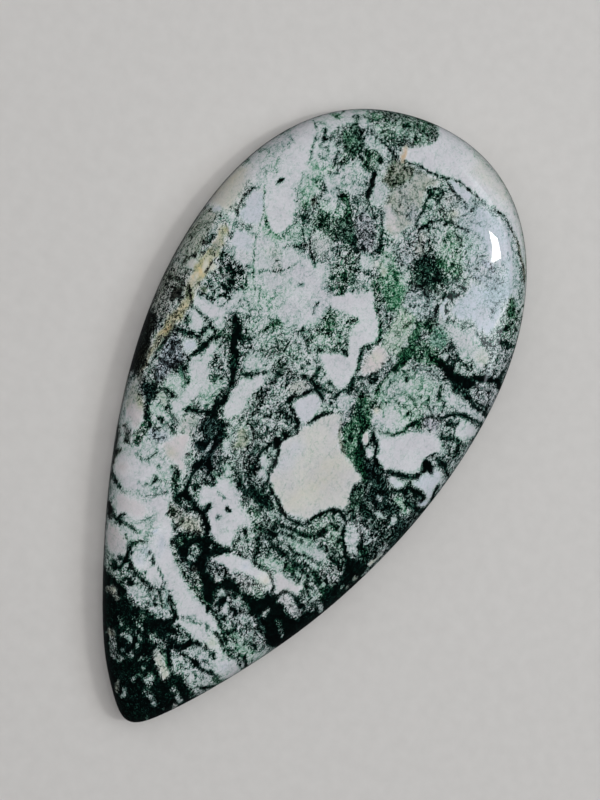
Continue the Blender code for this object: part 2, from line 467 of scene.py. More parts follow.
patch(0.23, -0.8,23.5, 1.3,23.4, 1.2,22.9, 0.6,22.5, 0.7,21.5, 0.8,20.5, 0.9,19.4, 0.6,18.7, 0.1,17.6,
      -0.8,17.8, -1.3,18.7, -1.9,19.4, -2,20.6, -1.7,21.2, -1,22, broken=0.8, green=0.1, colour=BEIGE_AND_RIM_SHADE,
      strength=0.7)
line(0.34, -0.3,20.6,.6, soft=0.3, broken=0.8, colour=BEIGE_AND_RIM_SHADE, strength=0.6)
line(0.1, 0.2,17.8,.2, -0.7,18.6,.45, -1.3,19.2,.3, soft=0.35, broken=0.7, colour=PINK, strength=0.6)
line(None, 0.5,20,.4, soft=0.4, colour=PURPLE, strength=0.3)
line(1.0, 1.1,22.6,.05, 1.5,22.75,.08, 1.95,22.65,.07, 2.05,22.3,.07, 1.9,21.9,.07, 1.9,21.7,.06)
line(1.0, 0.9,22.3,.1, 1.2,22.25,.12, 1.7,22.3,.07)
line(1.0, 1.1,22,.1, 1,21.4,.07, 1.05,21.1,.1, 1.15,20.6,.13, 1.4,20.6,.08)
line(0.15, 1.5,22.5,.16)
line(0.2, 1.4,21.5,.28)
line(0.42, 2.5,21.3,.4, 3.2,21.1,.4, soft=0.3, broken=1.4, green=1.0)
line(0.8, 2.3,21.3,.12, 2.6,21.6,.08, broken=1.2, green=0.8)
line(0.2, 3.6,21.7,.35, soft=0.35, broken=1.2, colour=CREAM)
line(0.2, 2.7,22.5,.35, soft=0.35, broken=1.2, colour=PINK, strength=0.7)
line(0.95, 2.1,20.1,.08, 2.4,20.4,.05, 2.9,20.65,.05, 3.4,20.9,.05, 3.9,21,.07, 4.2,20.85,.05,
      4.7,20.95,.05, 5.2,21,.04)
line(0.85, 3.4,20.6,.07, 3.2,20.4,.06)
line(0.95, 1.1,20.4,.06, 1.1,19.8,.08, 1.25,19.3,.07)
line(0.95, 2,20.1,.12, 1.9,19.7,.1, 1.7,19.2,.1, 1.4,18.6,.08, 1.2,18.2,.06)
line(0.9, 2.1,19.8,.06, 2.2,19.5,.05)
line(0.2, 1.6,19.9,.22, green=0.8)
line(0.12, 3.4,19.9,.3, 3.6,19.4,.25, soft=0.3, broken=1.2)
line(0.55, 5.1,21.8,.05, 5.6,21.9,.06, 6,21.9,.05)
line(0.5, 5.2,21,.05, 6,21,.06, 6.9,20.9,.07, 7.4,20.3,.07, 7.8,20,.06)

# The upper left: milky white, with one long vertical band and thin grey threads
patch(0.06, -11.2,22, -10.4,23, -9.7,23.6, -8.9,24.6, -7.9,25.4, -7.3,24.9, -7.6,24, -8.2,23.2, -8.4,21,
      -8.2,19, -8.6,17, -8.1,15, -8.1,13, -9.5,12.6, -11.2,13.5, -11.6,16, -13.2,16, -13,19, -12,21.2)
patch(0.0, -10.8,22, -9.6,23.2, -9,21.5, -8.9,19, -9.1,17, -8.8,15, -10.4,15, -10.6,17, -10.5,19.5)
patch(0.05, -15,16.8, -12.6,17.2, -12.4,14.5, -12.9,12.9, -15,12.9, soft=0.3)
line(0.4, -8.9,21.9,.25, soft=0.3, broken=1.0)
patch(0.12, -8.4,21.2, -7.4,21.2, -7.2,20, -7.4,19, -7.5,18.1, -8.4,18.2, soft=0.25)
line(0.95, -8.9,22.6,.12, -8.6,22,.22, -8.3,22.2,.16)
line(0.7, -8.6,21.7,.1, -8.7,21.2,.05)
patch(None, -15,13, -13.5,17, -12.6,17.2, -12.2,15, -12.6,13, soft=0.4, colour=CREAM, strength=0.9)
line(0.38, -11.3,21.6,.1, -11.7,20.9,.15, -11,20.9,.12, -10.9,20.1,.1, -11.4,19.7,.2, -11.2,19.3,.12)
line(0.38, -12.6,18.8,.15, -12.4,19,.15, -11.9,18.9,.1)
line(0.6, -10.8,20.8,.04, -10.5,20.4,.04)
line(0.18, -11.6,18.7,.3, -11.3,20.4,.35, soft=0.3)
line(0.55, -9.8,22.9,.04, -9.1,23.1,.05)
line(0.5, -11.2,19,.06, -11,18,.07, -10.8,17.7,.05, green=0.6)
line(0.85, -10.1,17.5,.08, -10.3,17,.13, -10.4,16.8,.08)
line(0.6, -11.5,17.3,.1)
line(0.6, -10,23,.05, -9.7,22.7,.1, -9.5,22.4,.07, -9.4,22,.06, -9.2,21.2,.07, -9.1,20.6,.12, -9,20.1,.1,
      -8.7,19.7,.04)
line(0.6, -8.9,18.7,.05, -8.7,18,.06, -8.6,17.6,.04)
line(0.45, -8.8,17.1,.06, -8,17,.06)
line(0.75, -8.6,24.3,.06, -8.4,24.2,.08, -8.1,24.9,.06)
line(0.5, -8.8,24.2,.15, -8.3,24.2,.2, green=0.8)
patch(0.2, -8.5,20, -7.6,19.3, -7.1,18, -7,16.8, -7.6,16.4, -8.4,17.2, -8.6,18.6, soft=0.3, broken=0.6,
      green=0.7)
line(0.6, -7.6,18.6,.15, -7.4,18.2,.12, green=0.8)
line(0.08, -6.9,19.2,.3, -6.4,18.7,.45, -6.1,18.2,.35, soft=0.2)
line(0.12, -6.1,19.3,.3, -5.6,19.1,.2, soft=0.2)
line(0.14, -7.9,21.7,.3, -7.5,21.5,.25, soft=0.2)
line(0.8, -5.3,18.6,.12, -4.9,18.4,.28, -4.5,18.1,.2, broken=0.7, green=0.9)
patch(0.36, -6.5,17.4, -5.2,17.6, -4.2,17.6, -4,16, -4.2,15, -6.2,14.9, -6.6,16, broken=0.8, green=0.6)
patch(0.17, -6.5,18.1, -4.8,18, -4.6,17, -6.4,16.8, soft=0.3, broken=1.2)
patch(0.74, -6.2,16.4, -4.6,16.6, -3.2,16.3, -3,15.3, -4.5,15.1, -6.1,15.4, soft=0.3, broken=0.9, green=0.8)
line(0.75, -7.1,17.2,.3, -7,16.8,.15, colour=BROWN_AND_RIM_SHADOW)
line(0.55, -7.7,16.5,.25, -7.5,16.2,.2, green=1.0)
line(1.0, -7.3,15.5,.25, -7,15.2,.25)
line(0.85, -6.3,15.8,.12, -5.6,16,.1, -5,16.1,.12, broken=1.2)
line(0.78, -4.6,16.2,.3, broken=1.4)
line(0.84, -4.3,17.9,.15, -4,17.3,.22, -3.6,16.6,.35, broken=0.9, green=0.9)
patch(0.0, -10,13.5, -10.3,15.8, -9,16.2, -8,15.8, -7.8,14.4, -8.2,13.5, -9,13.3)
patch(0.03, -11.9,13, -11.8,15.4, -11,15.8, -10.4,14.8, -10,13.3, -10.8,12.9, colour=BLUE_AND_REFLECTION, strength=0.5)
patch(0.02, -11.5,10.7, -11.5,12.2, -10.6,12.4, -9.8,12, -9.7,10.9, -10.6,10.6, colour=BLUE_AND_REFLECTION, strength=0.35)
patch(0.07, -9.6,13, -3.4,12.8, -3,11, -2.4,10.2, -2.2,8.6, -3.2,7.4, -6.2,7.2, -8.2,7.4, -8.8,8.2,
      -9.3,10.4, soft=0.35, broken=0.7, green=0.25)
patch(0.14, -8.8,9.5, -5.5,9.5, -5.3,7.2, -8.6,6.8, soft=0.5, green=0.4)
line(0.2, -8,11.8,.5, -7,10.8,.5, soft=0.4, broken=1.0, colour=BEIGE_AND_RIM_SHADE, strength=0.35)
patch(0.16, -4.2,14.9, -5.8,14.9, -5.9,13.6, -4.6,13.2, -4,13.8, soft=0.3, colour=PINK, strength=0.4)
patch(0.06, -6,11.2, -5.9,12.3, -4.8,12.5, -4.1,12.1, -4.3,11.1, -5.2,10.9)
line(0.75, -11.1,16.1,.05, -10.9,15.8,.05, -10.6,15,.035, -10.3,14.5,.04, -10.1,13.8,.03, -9.95,13,.02,
      green=0.9)
line(0.25, -9.5,13.1,.25, -8.4,12.9,.2, soft=0.25, green=1.0)
line(0.05, -10.3,12.6,.2, -10,12.9,.2, soft=0.15)
patch(0.07, -10.4,12.4, -9,12.4, -9.1,10.6, -9.6,9.9, -10.8,9.8, -11.4,10.4, -10,10.8, soft=0.2, broken=0.9,
      green=0.3)
line(0.75, -9.95,13,.02, -9.75,12,.025, -9.5,11.4,.035, -9.25,10.8,.035, -9,10.3,.05, -8.75,9.8,.05,
      -8.4,9.1,.03, broken=0.4, green=0.6)
line(0.55, -10.3,14.6,.05, -10,14.4,.06, -9.7,13.8,.15, -9.3,13.4,.1, -9,13.2,.06, -8.5,13.3,.06,
      -8,13.1,.06, -7.4,13.1,.05, green=0.9)
line(0.6, -10.8,12.6,.05, -10.6,12.7,.08, -10.4,12.75,.05)
line(0.3, -11.4,12.5,.1, -11.1,12.1,.1)
line(0.8, -12.1,15.2,.05, -12.1,14.9,.07, -12.2,14.3,.05, -12.3,13.9,.08, -12.2,13.4,.15, -12,13.2,.12)
line(0.7, -11.9,15.6,.1)
line(0.85, -8.3,9.9,.05, -7.9,10.3,.05, -7.3,10.5,.04, -6.8,10.9,.05, -6.5,11.1,.05, -6.2,11.6,.05,
      -6,11.9,.04, green=0.6)
line(0.7, -6.4,10.9,.06)
patch(0.2, -7.9,12.9, -7.8,14.8, -6.2,15.1, -5.9,13.8, -6.6,13, soft=0.25, broken=0.8, green=0.5)
line(0.85, -7.5,12.6,.04, -7,13,.06, -6.5,13.2,.07, -6,13.4,.13, -5.7,13.6,.13, -5.9,14.1,.07,
      -5.9,14.9,.07)
line(0.8, -5.7,13.5,.08, -5.1,13,.06, -4.6,12.5,.05)
line(0.85, -6.3,13.4,.12, -5.9,13.6,.22, -5.5,13.4,.15, -4.9,12.9,.1, broken=1.3)
line(0.7, -6.8,14.7,.05, -6.6,14.2,.06, -6.2,13.8,.06)

# The left flank: grey and olive moss along the rim, darker low down with painted shade, and a tan
# stain running down it
patch(0.31, -15.2,12.4, -13.5,12.6, -12.9,11, -12.9,8, -12.9,5, -13.2,2.8, -15.2,3, broken=0.9, green=0.25)
# Darker along the rim here: moss, partly painted shade.
patch(0.55, -15.2,7.2, -13,7, -12.9,5, -13.2,2.8, -15.2,3, soft=0.3, broken=1.2, green=0.2)
patch(None, -15.2,12.6, -13.3,12.8, -12.9,5, -13.2,2.8, -15.2,3, soft=0.3, colour=BEIGE_AND_RIM_SHADE, strength=0.6)
line(0.9, -13.9,12.5,.15)
line(0.2, -13.7,12,.4, soft=0.3, broken=1.2)
line(0.8, -14.1,11.2,.12, -14.3,10,.15)
line(0.95, -12.8,10.6,.15, -13.1,10,.2)
line(0.9, -13.5,8.6,.15)
line(0.9, -13.8,8.2,.15, -13.9,7.8,.12)
line(0.9, -13.2,7.1,.15)
line(0.85, -14.5,6.2,.12, -13.7,6.3,.15, -13,6.1,.12)
line(0.95, -13.3,5.6,.3, -13.3,4.8,.25)
line(0.9, -12.9,5,.2)
line(0.05, -13.4,7.9,.35)
line(0.06, -13.7,12.7,.15, -13.4,12.95,.15, colour=BLUE_AND_REFLECTION, strength=0.5)
patch(0.56, -11.9,10, -10.2,9.9, -9.3,9.6, -8.9,8.8, -9.2,7.9, -11.4,7.8, -12,9, broken=1.4, green=0.3)
line(0.9, -11.6,10,.12, -11.4,9.5,.12)
line(0.95, -10.7,9.2,.2, -10.2,8.9,.2, -9.9,8.7,.18, broken=1.2)
line(0.95, -9.5,9.3,.18, broken=1.2)
line(1.0, -10.3,8.2,.12, -9.95,8.1,.2, -9.6,8.1,.12, broken=1.0)
line(0.85, -9,8.2,.08, -8.7,8.1,.08)
line(0.85, -9,9,.07, -8.7,8.5,.07)
line(1.0, -10.3,7.6,.15, -9.9,7.4,.2, -9.6,7.7,.1)
line(0.9, -10,7,.08, -9.4,6.9,.1, -8.9,6.9,.15)
line(0.9, -11,8.6,.15)
line(0.8, -11.8,9.7,.2, green=0.8)
line(0.05, -8.9,7.6,.25, -9,6.3,.3)
line(0.8, -8.6,7.3,.04, -8.3,6.3,.05)
line(0.14, -7.8,6.5,.35, -8.8,6.6,.25, soft=0.2, broken=1.1)
line(1.0, -8.4,6.1,.08, -8.3,5.6,.2, -7.9,5.3,.3)
line(0.9, -7.3,6.5,.15, -7.4,6.1,.1)
line(0.85, -11.8,6.95,.08, -11,7,.05)
patch(0.15, -11.2,6.8, -9.7,6.6, -9.2,6.1, -11.2,6.1, soft=0.15, broken=1.2)
line(0.5, -11.6,6.6,.3, green=0.7, colour=OLIVE)
line(0.8, -10.6,6.3,.15)
line(0.05, -12.4,12.9,.3, -12,12.4,.3, -12.2,11,.2, soft=0.2)
line(0.55, -12.5,12.1,.06, -12.2,11.9,.08, -11.9,11.5,.08, -11.75,11.2,.06, colour=BROWN_AND_RIM_SHADOW)
line(0.18, -12.4,11.6,.35, -12.3,10.5,.45, -12.3,9.7,.45, -12.4,9,.5, -12.3,8.3,.55, -12.5,7.4,.55,
      -12.5,6.6,.45, -12.3,5.6,.4, -12.3,5,.42, -12.4,4,.5, -12.6,3,.45, -12.7,2.2,.42, -12.9,1.5,.35,
      -12.9,0.8,.28, -12.9,0,.2, -12.8,-0.8,.14, -12.9,-1.8,.1, soft=0.16, broken=1.2, colour=TAN)
line(None, -12.4,10.2,.3, -12.2,9.6,.2, soft=0.2, colour=OLIVE, strength=0.9)
line(None, -12.6,6,.2, -12.3,5.2,.2, soft=0.2, colour=OLIVE, strength=0.8)
line(None, -12.6,3.9,.1, -12.6,3.1,.15, soft=0.2, colour=OLIVE, strength=0.8)
line(0.12, -12.7,6.5,.2, -12.7,7.1,.3, -12.4,7.8,.3, soft=0.15, colour=GOLD)
line(0.14, -12.3,5.3,.15, -12.4,4.6,.15, -12.6,2.8,.15, -12.75,1.8,.15, soft=0.2, broken=1.1, colour=GOLD,
      strength=0.8)
line(0.2, -12.3,8.6,.2, soft=0.15, colour=GOLD)
line(0.12, -11.8,8.6,.25, -12,8.1,.2, soft=0.25, colour=CREAM)
line(0.2, -12.5,2.7,.12, -12.7,2.2,.1, soft=0.15, colour=OCHRE)
line(0.05, -12.4,8.6,.15, -12.3,8.1,.16, colour=CREAM)
line(0.05, -12.6,7.4,.08, -12.6,7.1,.08, colour=CREAM)
line(0.1, -12.75,1.7,.06, -12.85,0.6,.07, -12.8,-0.4,.06, colour=CREAM)
line(0.9, -12.6,4.7,.14)
line(0.85, -12,6.8,.1)
line(0.85, -12.8,6.3,.12, -12.1,5.4,.08)
line(0.85, -12.9,9.2,.1)
line(0.85, -12.1,4.4,.12, -12.9,3.5,.1)
line(0.8, -12.1,7.9,.08, -12,9.1,.1)
line(0.9, -12.6,3.7,.1)
line(0.9, -12.8,1,.15)

# Under the head: a strong slanting thread, then dark masses either side of a green middle. On
# the right, the window light's painted reflection tints a white window and the moss blue.
patch(0.35, -3.3,18.4, -2.2,18, -1.5,17.3, -0.9,16.2, -1.2,15.7, -2,15.5, -2.8,16.3, -3.3,17.2, broken=1.1,
      green=0.0, colour=PURPLE, strength=0.3)
patch(0.38, -0.4,16.4, 0.8,16.3, 1.8,15.2, 2.6,14.6, 3.1,13.9, 3.1,12.6, 2.2,12.3, 1.4,12.9, 0.9,13.6,
      0.3,14.3, -0.1,15.2, broken=0.65, green=1.0)
patch(0.52, 2,14.4, 3.2,14.3, 3.3,12.4, 2.4,12.2, 1.9,12.9, soft=0.3, broken=0.4, green=1.2)
patch(0.42, 1.2,19, 2.9,19, 2.9,17.2, 2.4,16, 1.2,16, 0.9,17.5, broken=1.1, green=0.2)
line(None, 2,18.7,.4, 2.3,17.7,.4, soft=0.3, colour=BEIGE_AND_RIM_SHADE, strength=0.7)
patch(0.3, 3.2,15, 5.6,15.2, 6.2,13.1, 5,12.6, 3.2,13, broken=0.9, green=0.4, colour=BLUE_AND_REFLECTION, strength=0.3)
patch(0.3, 3.6,20.6, 6.6,20.4, 6.9,17.6, 5.6,16.8, 4.2,17.3, 3.6,18.8, soft=0.3, green=0.9)
# Painted reflection: the mirrored window light, a pale blue veil.
patch(0.25, 6,20.2, 9.6,20, 10.4,18.4, 9,17.9, 6.6,17.8, soft=0.4, green=0.2, colour=BLUE_AND_REFLECTION, strength=0.3)
line(0.95, -1.8,18.8,.02, -1.5,18.3,.04, -1.1,17.6,.05, -0.8,17,.06, -0.6,16.4,.1, -0.6,15.9,.12)
line(0.9, -0.6,15.9,.08, -0.3,16.3,.06)
line(0.9, -1.7,17.8,.12, -1.4,17.5,.12)
line(0.9, -2,15.9,.2, -1.7,15.6,.15)
line(0.82, -2,16.7,.35, -1.6,16.2,.35, soft=0.2, broken=1.3)
line(0.85, -1.5,17,.22)
patch(0.8, -4,17.3, -3.3,17, -3,16.3, -2.7,15.9, -2.8,15, -3.6,15.2, -4.3,15.9, -4.6,16.6, broken=0.8,
      green=0.6)
line(0.95, -2.4,15.6,.2, -2.2,15.1,.3, -2.4,14.6,.35, -2.1,14.2,.25, broken=1.2)
line(0.85, -2.9,16,.25, -2.5,15.5,.25)
patch(0.1, -1.7,15.2, -1,15.3, -0.5,15, -0.3,14.5, -0.9,14.1, -1.5,14.2, -1.7,14.6, broken=0.9)
line(0.9, -1.9,14.7,.2, -1.8,14.3,.25, broken=1.2)
line(0.15, -0.1,14.9,.35, soft=0.2, broken=1.1, colour=CREAM)
line(0.88, -2,13.9,.2, -1.5,13.7,.12, -1,13.8,.1, -0.5,13.95,.1, broken=1.0)
line(0.2, 0.5,14.7,.32, colour=BEIGE_AND_RIM_SHADE)
line(0.08, 0.4,15.6,.12)
line(0.08, 2.4,14.8,.15)
line(0.66, 0.4,13.7,.35, 0.8,13.2,.3, broken=0.8, green=1.1)
line(0.4, 1.8,16.5,.5, soft=0.2, colour=BLUE_AND_REFLECTION, strength=0.5)
patch(0.8, 2.8,17.9, 4.6,17.5, 5.6,16.6, 5.9,15.6, 5.2,14.9, 3.4,14.7, 2.9,15.6, soft=0.3, broken=0.9,
      green=0.5)
patch(0.9, 2.7,17.5, 3.4,17.7, 3.7,17.2, 4.2,17, 4.9,16.8, 5.3,16.3, 4.7,15.9, 4.5,15.4, 4,15.1, 3.3,15.2,
      3,15.7, 3.5,16.1, 2.9,16.2, 2.4,16.6, soft=0.25, broken=0.9, green=0.3)
line(0.45, 3.3,16,.12, 3.7,15.8,.14, soft=0.15)
line(0.7, 3.1,18.2,.35, 3.5,17.9,.25, broken=1.2, green=0.6)
line(0.75, 2.6,16.2,.3, broken=1.2)
line(0.4, 4.2,16.5,.12)
line(0.45, 3.4,17,.1)
line(0.75, 4.5,17.6,.4, green=1.0)
line(0.55, 5.2,17.5,.4, green=1.0)
line(0.6, 4.2,20.3,.1, 4.6,20.3,.1, 5.1,20.1,.1, 5.3,19.6,.12, 5,19.4,.08, green=0.7)
line(0.6, 4,19.9,.08, 3.9,19.4,.1, 4.2,18.9,.08, green=0.7)
line(0.6, 4.7,18.5,.1, 4.8,18.1,.08, green=0.7)
line(0.8, 5.3,16.6,.2, 5.7,16.4,.15)
line(0.3, 5.3,15.9,.25, broken=1.2)
# Partly white agate and partly painted reflection: a blue-white window under the mirrored window light.
patch(0.05, 7.3,17.6, 8.4,17.7, 9.3,17.6, 10.6,17.3, 11,16.5, 11.1,15, 10.9,14.2, 9.8,14.3, 8.9,14.6,
      8.2,14.3, 7.4,14.2, 6.9,14.7, 7.1,15.4, 7.5,16.2, 7.6,16.9, soft=0.25, broken=1.5, colour=BLUE_AND_REFLECTION,
      strength=0.7)
# Painted reflection: the blue tint of this line and the next patch is the mirrored window light.
line(0.42, 7.5,18,.12, 7.9,18.1,.17, 8.4,18.1,.15, 8.8,17.8,.08, colour=BLUE_AND_REFLECTION)
patch(0.36, 8.7,18.9, 10.6,18.6, 11,17.4, 10.6,16.2, 9.8,16.1, 9.2,17.1, 8.6,17.7, soft=0.4, broken=0.6,
      colour=BLUE_AND_REFLECTION, strength=0.8)
line(0.4, 9.5,17.4,.13, 9.9,17,.15, 10.2,16.2,.15, 10.4,15.7,.12)
line(0.42, 8.6,14.4,.15)
# Painted reflection: this line's blue tint.
line(0.5, 7.7,19.4,.2, 8.2,19.4,.3, 8.6,19.1,.2, broken=1.2, colour=BLUE_AND_REFLECTION)
line(0.88, 6.2,15.3,.2, 6.6,15.7,.25, 7.1,16,.1)
line(0.88, 6.5,14.9,.1, 6.6,14.5,.12, 6.9,14.2,.08)
# Painted reflection: this line's blue tint.
line(0.1, 6.3,15.2,.13, 6.25,14.6,.18, 6.5,14.1,.16, 6.9,13.8,.13, colour=BLUE_AND_REFLECTION, strength=0.8)
line(0.8, 5.9,15.2,.12, 6.1,15.5,.12)
line(0.85, 5.9,14.3,.15, 6,13.9,.15, 6.2,13.5,.15)
line(0.8, 7,16.9,.1, 7.4,16.6,.1)
line(0.6, 7.3,13.8,.1, 8,13.8,.1)
line(0.85, 4.5,14.7,.25, 5,14.7,.1)
line(0.85, 6.1,13.3,.2)
patch(0.64, 5.4,13.2, 6.4,13.3, 6.6,12.2, 5.5,11.9, broken=0.8, green=1.0)
line(0.9, 5.9,13.1,.1, 5.7,12.6,.12, 6.3,12.6,.12, 6.4,12.2,.1)
patch(0.08, 7.6,13.8, 8.5,13.6, 9.5,13.9, 10.4,13.7, 11.2,13.2, 11.9,12.9, 12,12.3, 11.8,11.6, 11.2,11.2,
      10.9,11.9, 10.3,11.7, 9.9,11.4, 9.3,11.9, 8.9,12.3, 8.2,12.8, 7.5,13.2)
line(None, 11.4,12.5,.6, soft=0.3, colour=CREAM, strength=0.4)
patch(0.3, 11.5,14, 14.4,14.2, 14.6,11.6, 12.4,11.6, 11.9,12.4, broken=1.4)
patch(0.65, 13.5,13.9, 15,14, 15,9, 14,9, 13.6,11.5, green=0.3)
patch(0.35, 11.3,17.6, 14,17.4, 14.4,14, 11.4,14, broken=1.2, green=0.5)
line(0.75, 11.3,17.7,.2, 11.7,17.2,.35, 11.6,16.8,.3, 12,16.8,.2, 12.5,16.7,.15, green=1.0)
line(0.95, 12.1,15.7,.2, 12,15.4,.15, 11.7,15.2,.15)
line(0.75, 12.5,16.1,.2, 12.8,16,.15)
line(0.95, 13,18.1,.06, 12.6,17.9,.07, 12.5,17.4,.07, 12.45,17,.06)
line(0.95, 12.2,14.4,.12, 12.8,14.5,.22, 12.9,14.2,.15, broken=1.0)
line(0.9, 11.9,14.3,.1, 12.4,14.2,.1)
line(0.85, 13.2,14.4,.1, 13.6,14.7,.12, 14.1,14.8,.12)
line(0.85, 13.3,13.2,.2)
line(0.8, 12.6,13,.12, 12.6,12.7,.1)
line(0.7, 11.3,13.9,.05, 11.9,13.5,.05, 12.6,13.1,.05)
line(0.8, 10.5,13.8,.08, 10.9,13.5,.08, 11.1,13.4,.06)
line(0.9, 13.7,12.3,.2, 13.7,11.9,.15)
line(0.85, 12.9,12,.12, 13.1,12.1,.1)
line(0.8, 8.2,12.1,.1, 8.8,11.9,.12, 9,12.3,.06, broken=1.2)
line(0.9, 9.3,11.7,.1, 9.5,11.5,.12, 9.8,11.4,.08)
line(0.85, 10.7,11.9,.1, 10.9,11.5,.1, 10.7,11.2,.1, 10.4,10.9,.08)

# The green column and the long black band that crosses to the right rim
patch(0.63, 6,11.5, 7.8,11.3, 7.9,9.9, 6.6,9.6, 5.8,10, broken=0.7, green=1.0)
patch(0.48, 6.4,13, 8,13, 8,11.4, 6.6,11.2, broken=0.6, green=0.8, colour=TEAL, strength=0.4)
patch(0.2, 3.2,12.8, 4.8,12.8, 5,11, 4.8,9, 3.2,9.4, green=0.7, colour=CREAM, strength=0.25)
line(0.36, 4.1,12.4,.2, 4.4,11.8,.25, soft=0.25, broken=1.0, green=1.0)
patch(0.35, 11.6,10.6, 14.3,10.8, 14.5,9.1, 12.2,9.2, broken=1.5, green=0.0)
patch(0.16, 10,9.2, 14.6,8.6, 14.7,7.7, 12,7.7, 10,7.8, broken=1.3)
line(0.7, 5.3,12.4,.2, 5.4,11.8,.35, 5.3,11,.35, 5.7,10.5,.35, 5.4,9.6,.45, 5.6,8.9,.4, 5.4,8.4,.35,
      5.1,7.3,.25, 4.9,6.2,.25, 5,5.3,.2, broken=0.5, green=1.15)
line(0.86, 5.5,9.6,.25, 5.5,8.9,.4, 5.4,8.4,.3, green=1.0)
line(0.9, 6.8,10.5,.2, 7.6,10.5,.35, 8.4,10.4,.4, broken=1.2, green=0.9)
line(0.98, 8.2,10.4,.25, 8.8,10.4,.4, 9.5,10.2,.55, 10.5,9.9,.65, 11.3,10,.5, 11.6,10.6,.35, 12.2,10.9,.25,
      12.9,11.2,.2, 13.6,11.3,.35, 14.2,11.1,.25, broken=1.0)
line(0.9, 8.8,11,.2, 9.4,11,.25, broken=1.0)
line(0.9, 10.5,9.3,.4, 11.3,9.1,.3, 12.2,8.9,.22, 13.1,8.6,.15, 14.3,8.5,.2)
line(0.22, 10.5,10.8,.3, 9.9,10.6,.2, broken=1.3)
line(0.85, 12.3,9.9,.15)
line(0.85, 12.7,9.7,.1)
line(0.85, 13.3,10.4,.12)
line(0.88, 13.2,9,.15, 13.9,9,.15)
line(0.7, 4.3,11.6,.15, 4.6,12,.12, 4.8,12.2,.1)

# The middle: a white lobe with a dark olive edge, between pale and mossy ground
patch(0.06, -6,12.3, -4.6,12.4, -3.9,12, -3.4,11.4, -2.6,10.9, -2.2,10.4, -2,9.6, -2.2,8.8, -2.9,8.2,
      -3.3,7.6, -4,7.6, -4.8,8, -5.3,9, -5.6,10, soft=0.25, broken=0.8, green=0.1)
patch(0.55, -3.3,15, -1.8,15, -1.6,13.4, -1.5,11.6, -2.2,11.1, -3.1,12, broken=1.1, green=0.6)
patch(0.26, -1.7,10.2, 0.7,10.4, 1.3,8, 1.3,7.2, -0.8,6.4, -2.4,6.6, -2,8.4, soft=0.25, broken=1.2,
      green=0.6)
patch(0.5, -1.7,9.9, -1,9.8, -0.7,9, -0.9,8.4, -1.6,8.5, -1.9,9.2, soft=0.2, broken=0.9, green=1.1)
patch(0.24, -6,6.6, -1,6.6, 0.8,5.2, 2.2,4.6, 1.4,4, -2,4, -6,4, soft=0.3, broken=1.3, green=0.4)
patch(0.0, -0.8,13.6, 0.2,13.3, 0.7,12.7, 1.1,12.1, 1.6,11.5, 2.1,11, 2.5,10.5, 2.75,9.9, 2.9,9.4, 2.6,9.1,
      2.2,8.9, 1.9,8.5, 2,8, 2.1,7.3, 2.3,6.9, 2.4,6.3, 2.4,5.6, 2.2,5, 1.8,4.6, 1.2,4.8, 0.6,5.2, 0.2,5.3,
      -0.2,5.7, -0.8,6.1, -0.9,6.5, 0,6.8, 0.6,7.1, 1.3,7.3, 1.3,7.6, 0.9,8, 0.6,8.6, 0.5,9.2, 0.8,9.9,
      0.5,10.5, -0.2,10.3, -1.6,10.2, -2.2,10.5, -2.3,10.9, -1.6,11.3, -1.2,11.9, -0.6,12.2, -0.3,12.6,
      -0.9,13.1, soft=0.12)
patch(0.28, -1.5,13.6, -0.2,13.6, 0.5,13.1, 0.1,12.5, -0.3,12.2, -0.9,12, -1.4,12.4, soft=0.25, broken=1.1,
      green=0.4)
line(0.68, 0.2,13.2,.08, 0.5,13.5,.25, 0.7,13,.15, 1.2,12.6,.18, 1.6,12.5,.18, 1.3,12.1,.1, 1.6,11.6,.08,
      2,11.3,.1, 2.3,11,.12, 2.5,10.7,.1, broken=1.0, green=0.9)
line(0.85, 2.3,11,.1, 2.6,10.5,.12, 2.8,10.1,.12, 2.95,9.5,.1, 2.8,9.3,.08, 2.3,8.9,.08, 2.1,8.6,.2,
      1.9,8.4,.15, 2.2,7.9,.2, 2.2,7.4,.15, 2.5,7,.15, 2.5,6.6,.12, green=0.5)
line(0.9, 2.5,6,.15, 2.6,5.5,.2, 2.7,5,.12)
line(0.9, 2.9,6.2,.15, 3.2,6.4,.1, 3.3,6.5,.06)
line(0.9, 2.3,4.7,.2, 2.7,4.7,.15, 3.1,4.7,.1)
line(0.85, 3.3,5.3,.2, 3.5,5.2,.1)
line(0.88, -1.5,9.3,.15, -1.2,9.35,.12, -0.8,9.1,.1, broken=1.2, green=1.0)
line(0.82, 0.2,10,.12, 0.4,10.2,.17, 0,9.7,.1, broken=1.2)
line(0.8, -1.4,8.9,.2, green=1.0)
line(0.9, -1.3,8.3,.12, -0.8,8.1,.1)
line(0.9, -2,7.9,.12, -1.7,8.1,.12, -1.5,8.3,.08)
line(0.85, 0.6,8.4,.05, 0.7,8.1,.06)
line(0.95, 0,7.9,.08, 0.5,7.65,.08, 0.9,7.45,.09, 1.2,7.3,.06)
line(0.8, -2.2,7.95,.08, -1.2,8.1,.08, -0.2,7.95,.08, broken=1.2, green=0.6)
line(0.75, -1,7.1,.08, -0.5,7.1,.08, -0.1,7.1,.06)
line(0.75, -1.1,6.6,.1, -0.6,6.7,.06)
line(0.9, -2.1,7.3,.12)
line(0.9, -2.3,6.9,.1)
line(0.9, -2.95,10,.06, -3,9.5,.08, -2.9,9,.05)
line(0.9, -3.1,7.7,.06, -3.05,7.2,.1, -2.8,7,.12)
line(0.12, -4.1,6.8,.35, soft=0.25, broken=1.0)
line(0.95, -2.9,12.2,.2, -2.8,12.4,.15)
line(1.0, -2.5,11.6,.15, -2.3,11.4,.12)
line(0.85, -1.8,11.9,.2, -1.6,11.6,.15, -1.9,11.3,.15, green=1.0)
line(0.8, -2.1,12.8,.3)
line(0.8, -2.1,13.3,.2)
line(0.6, -1.5,13.3,.25, -1.2,12.8,.25)
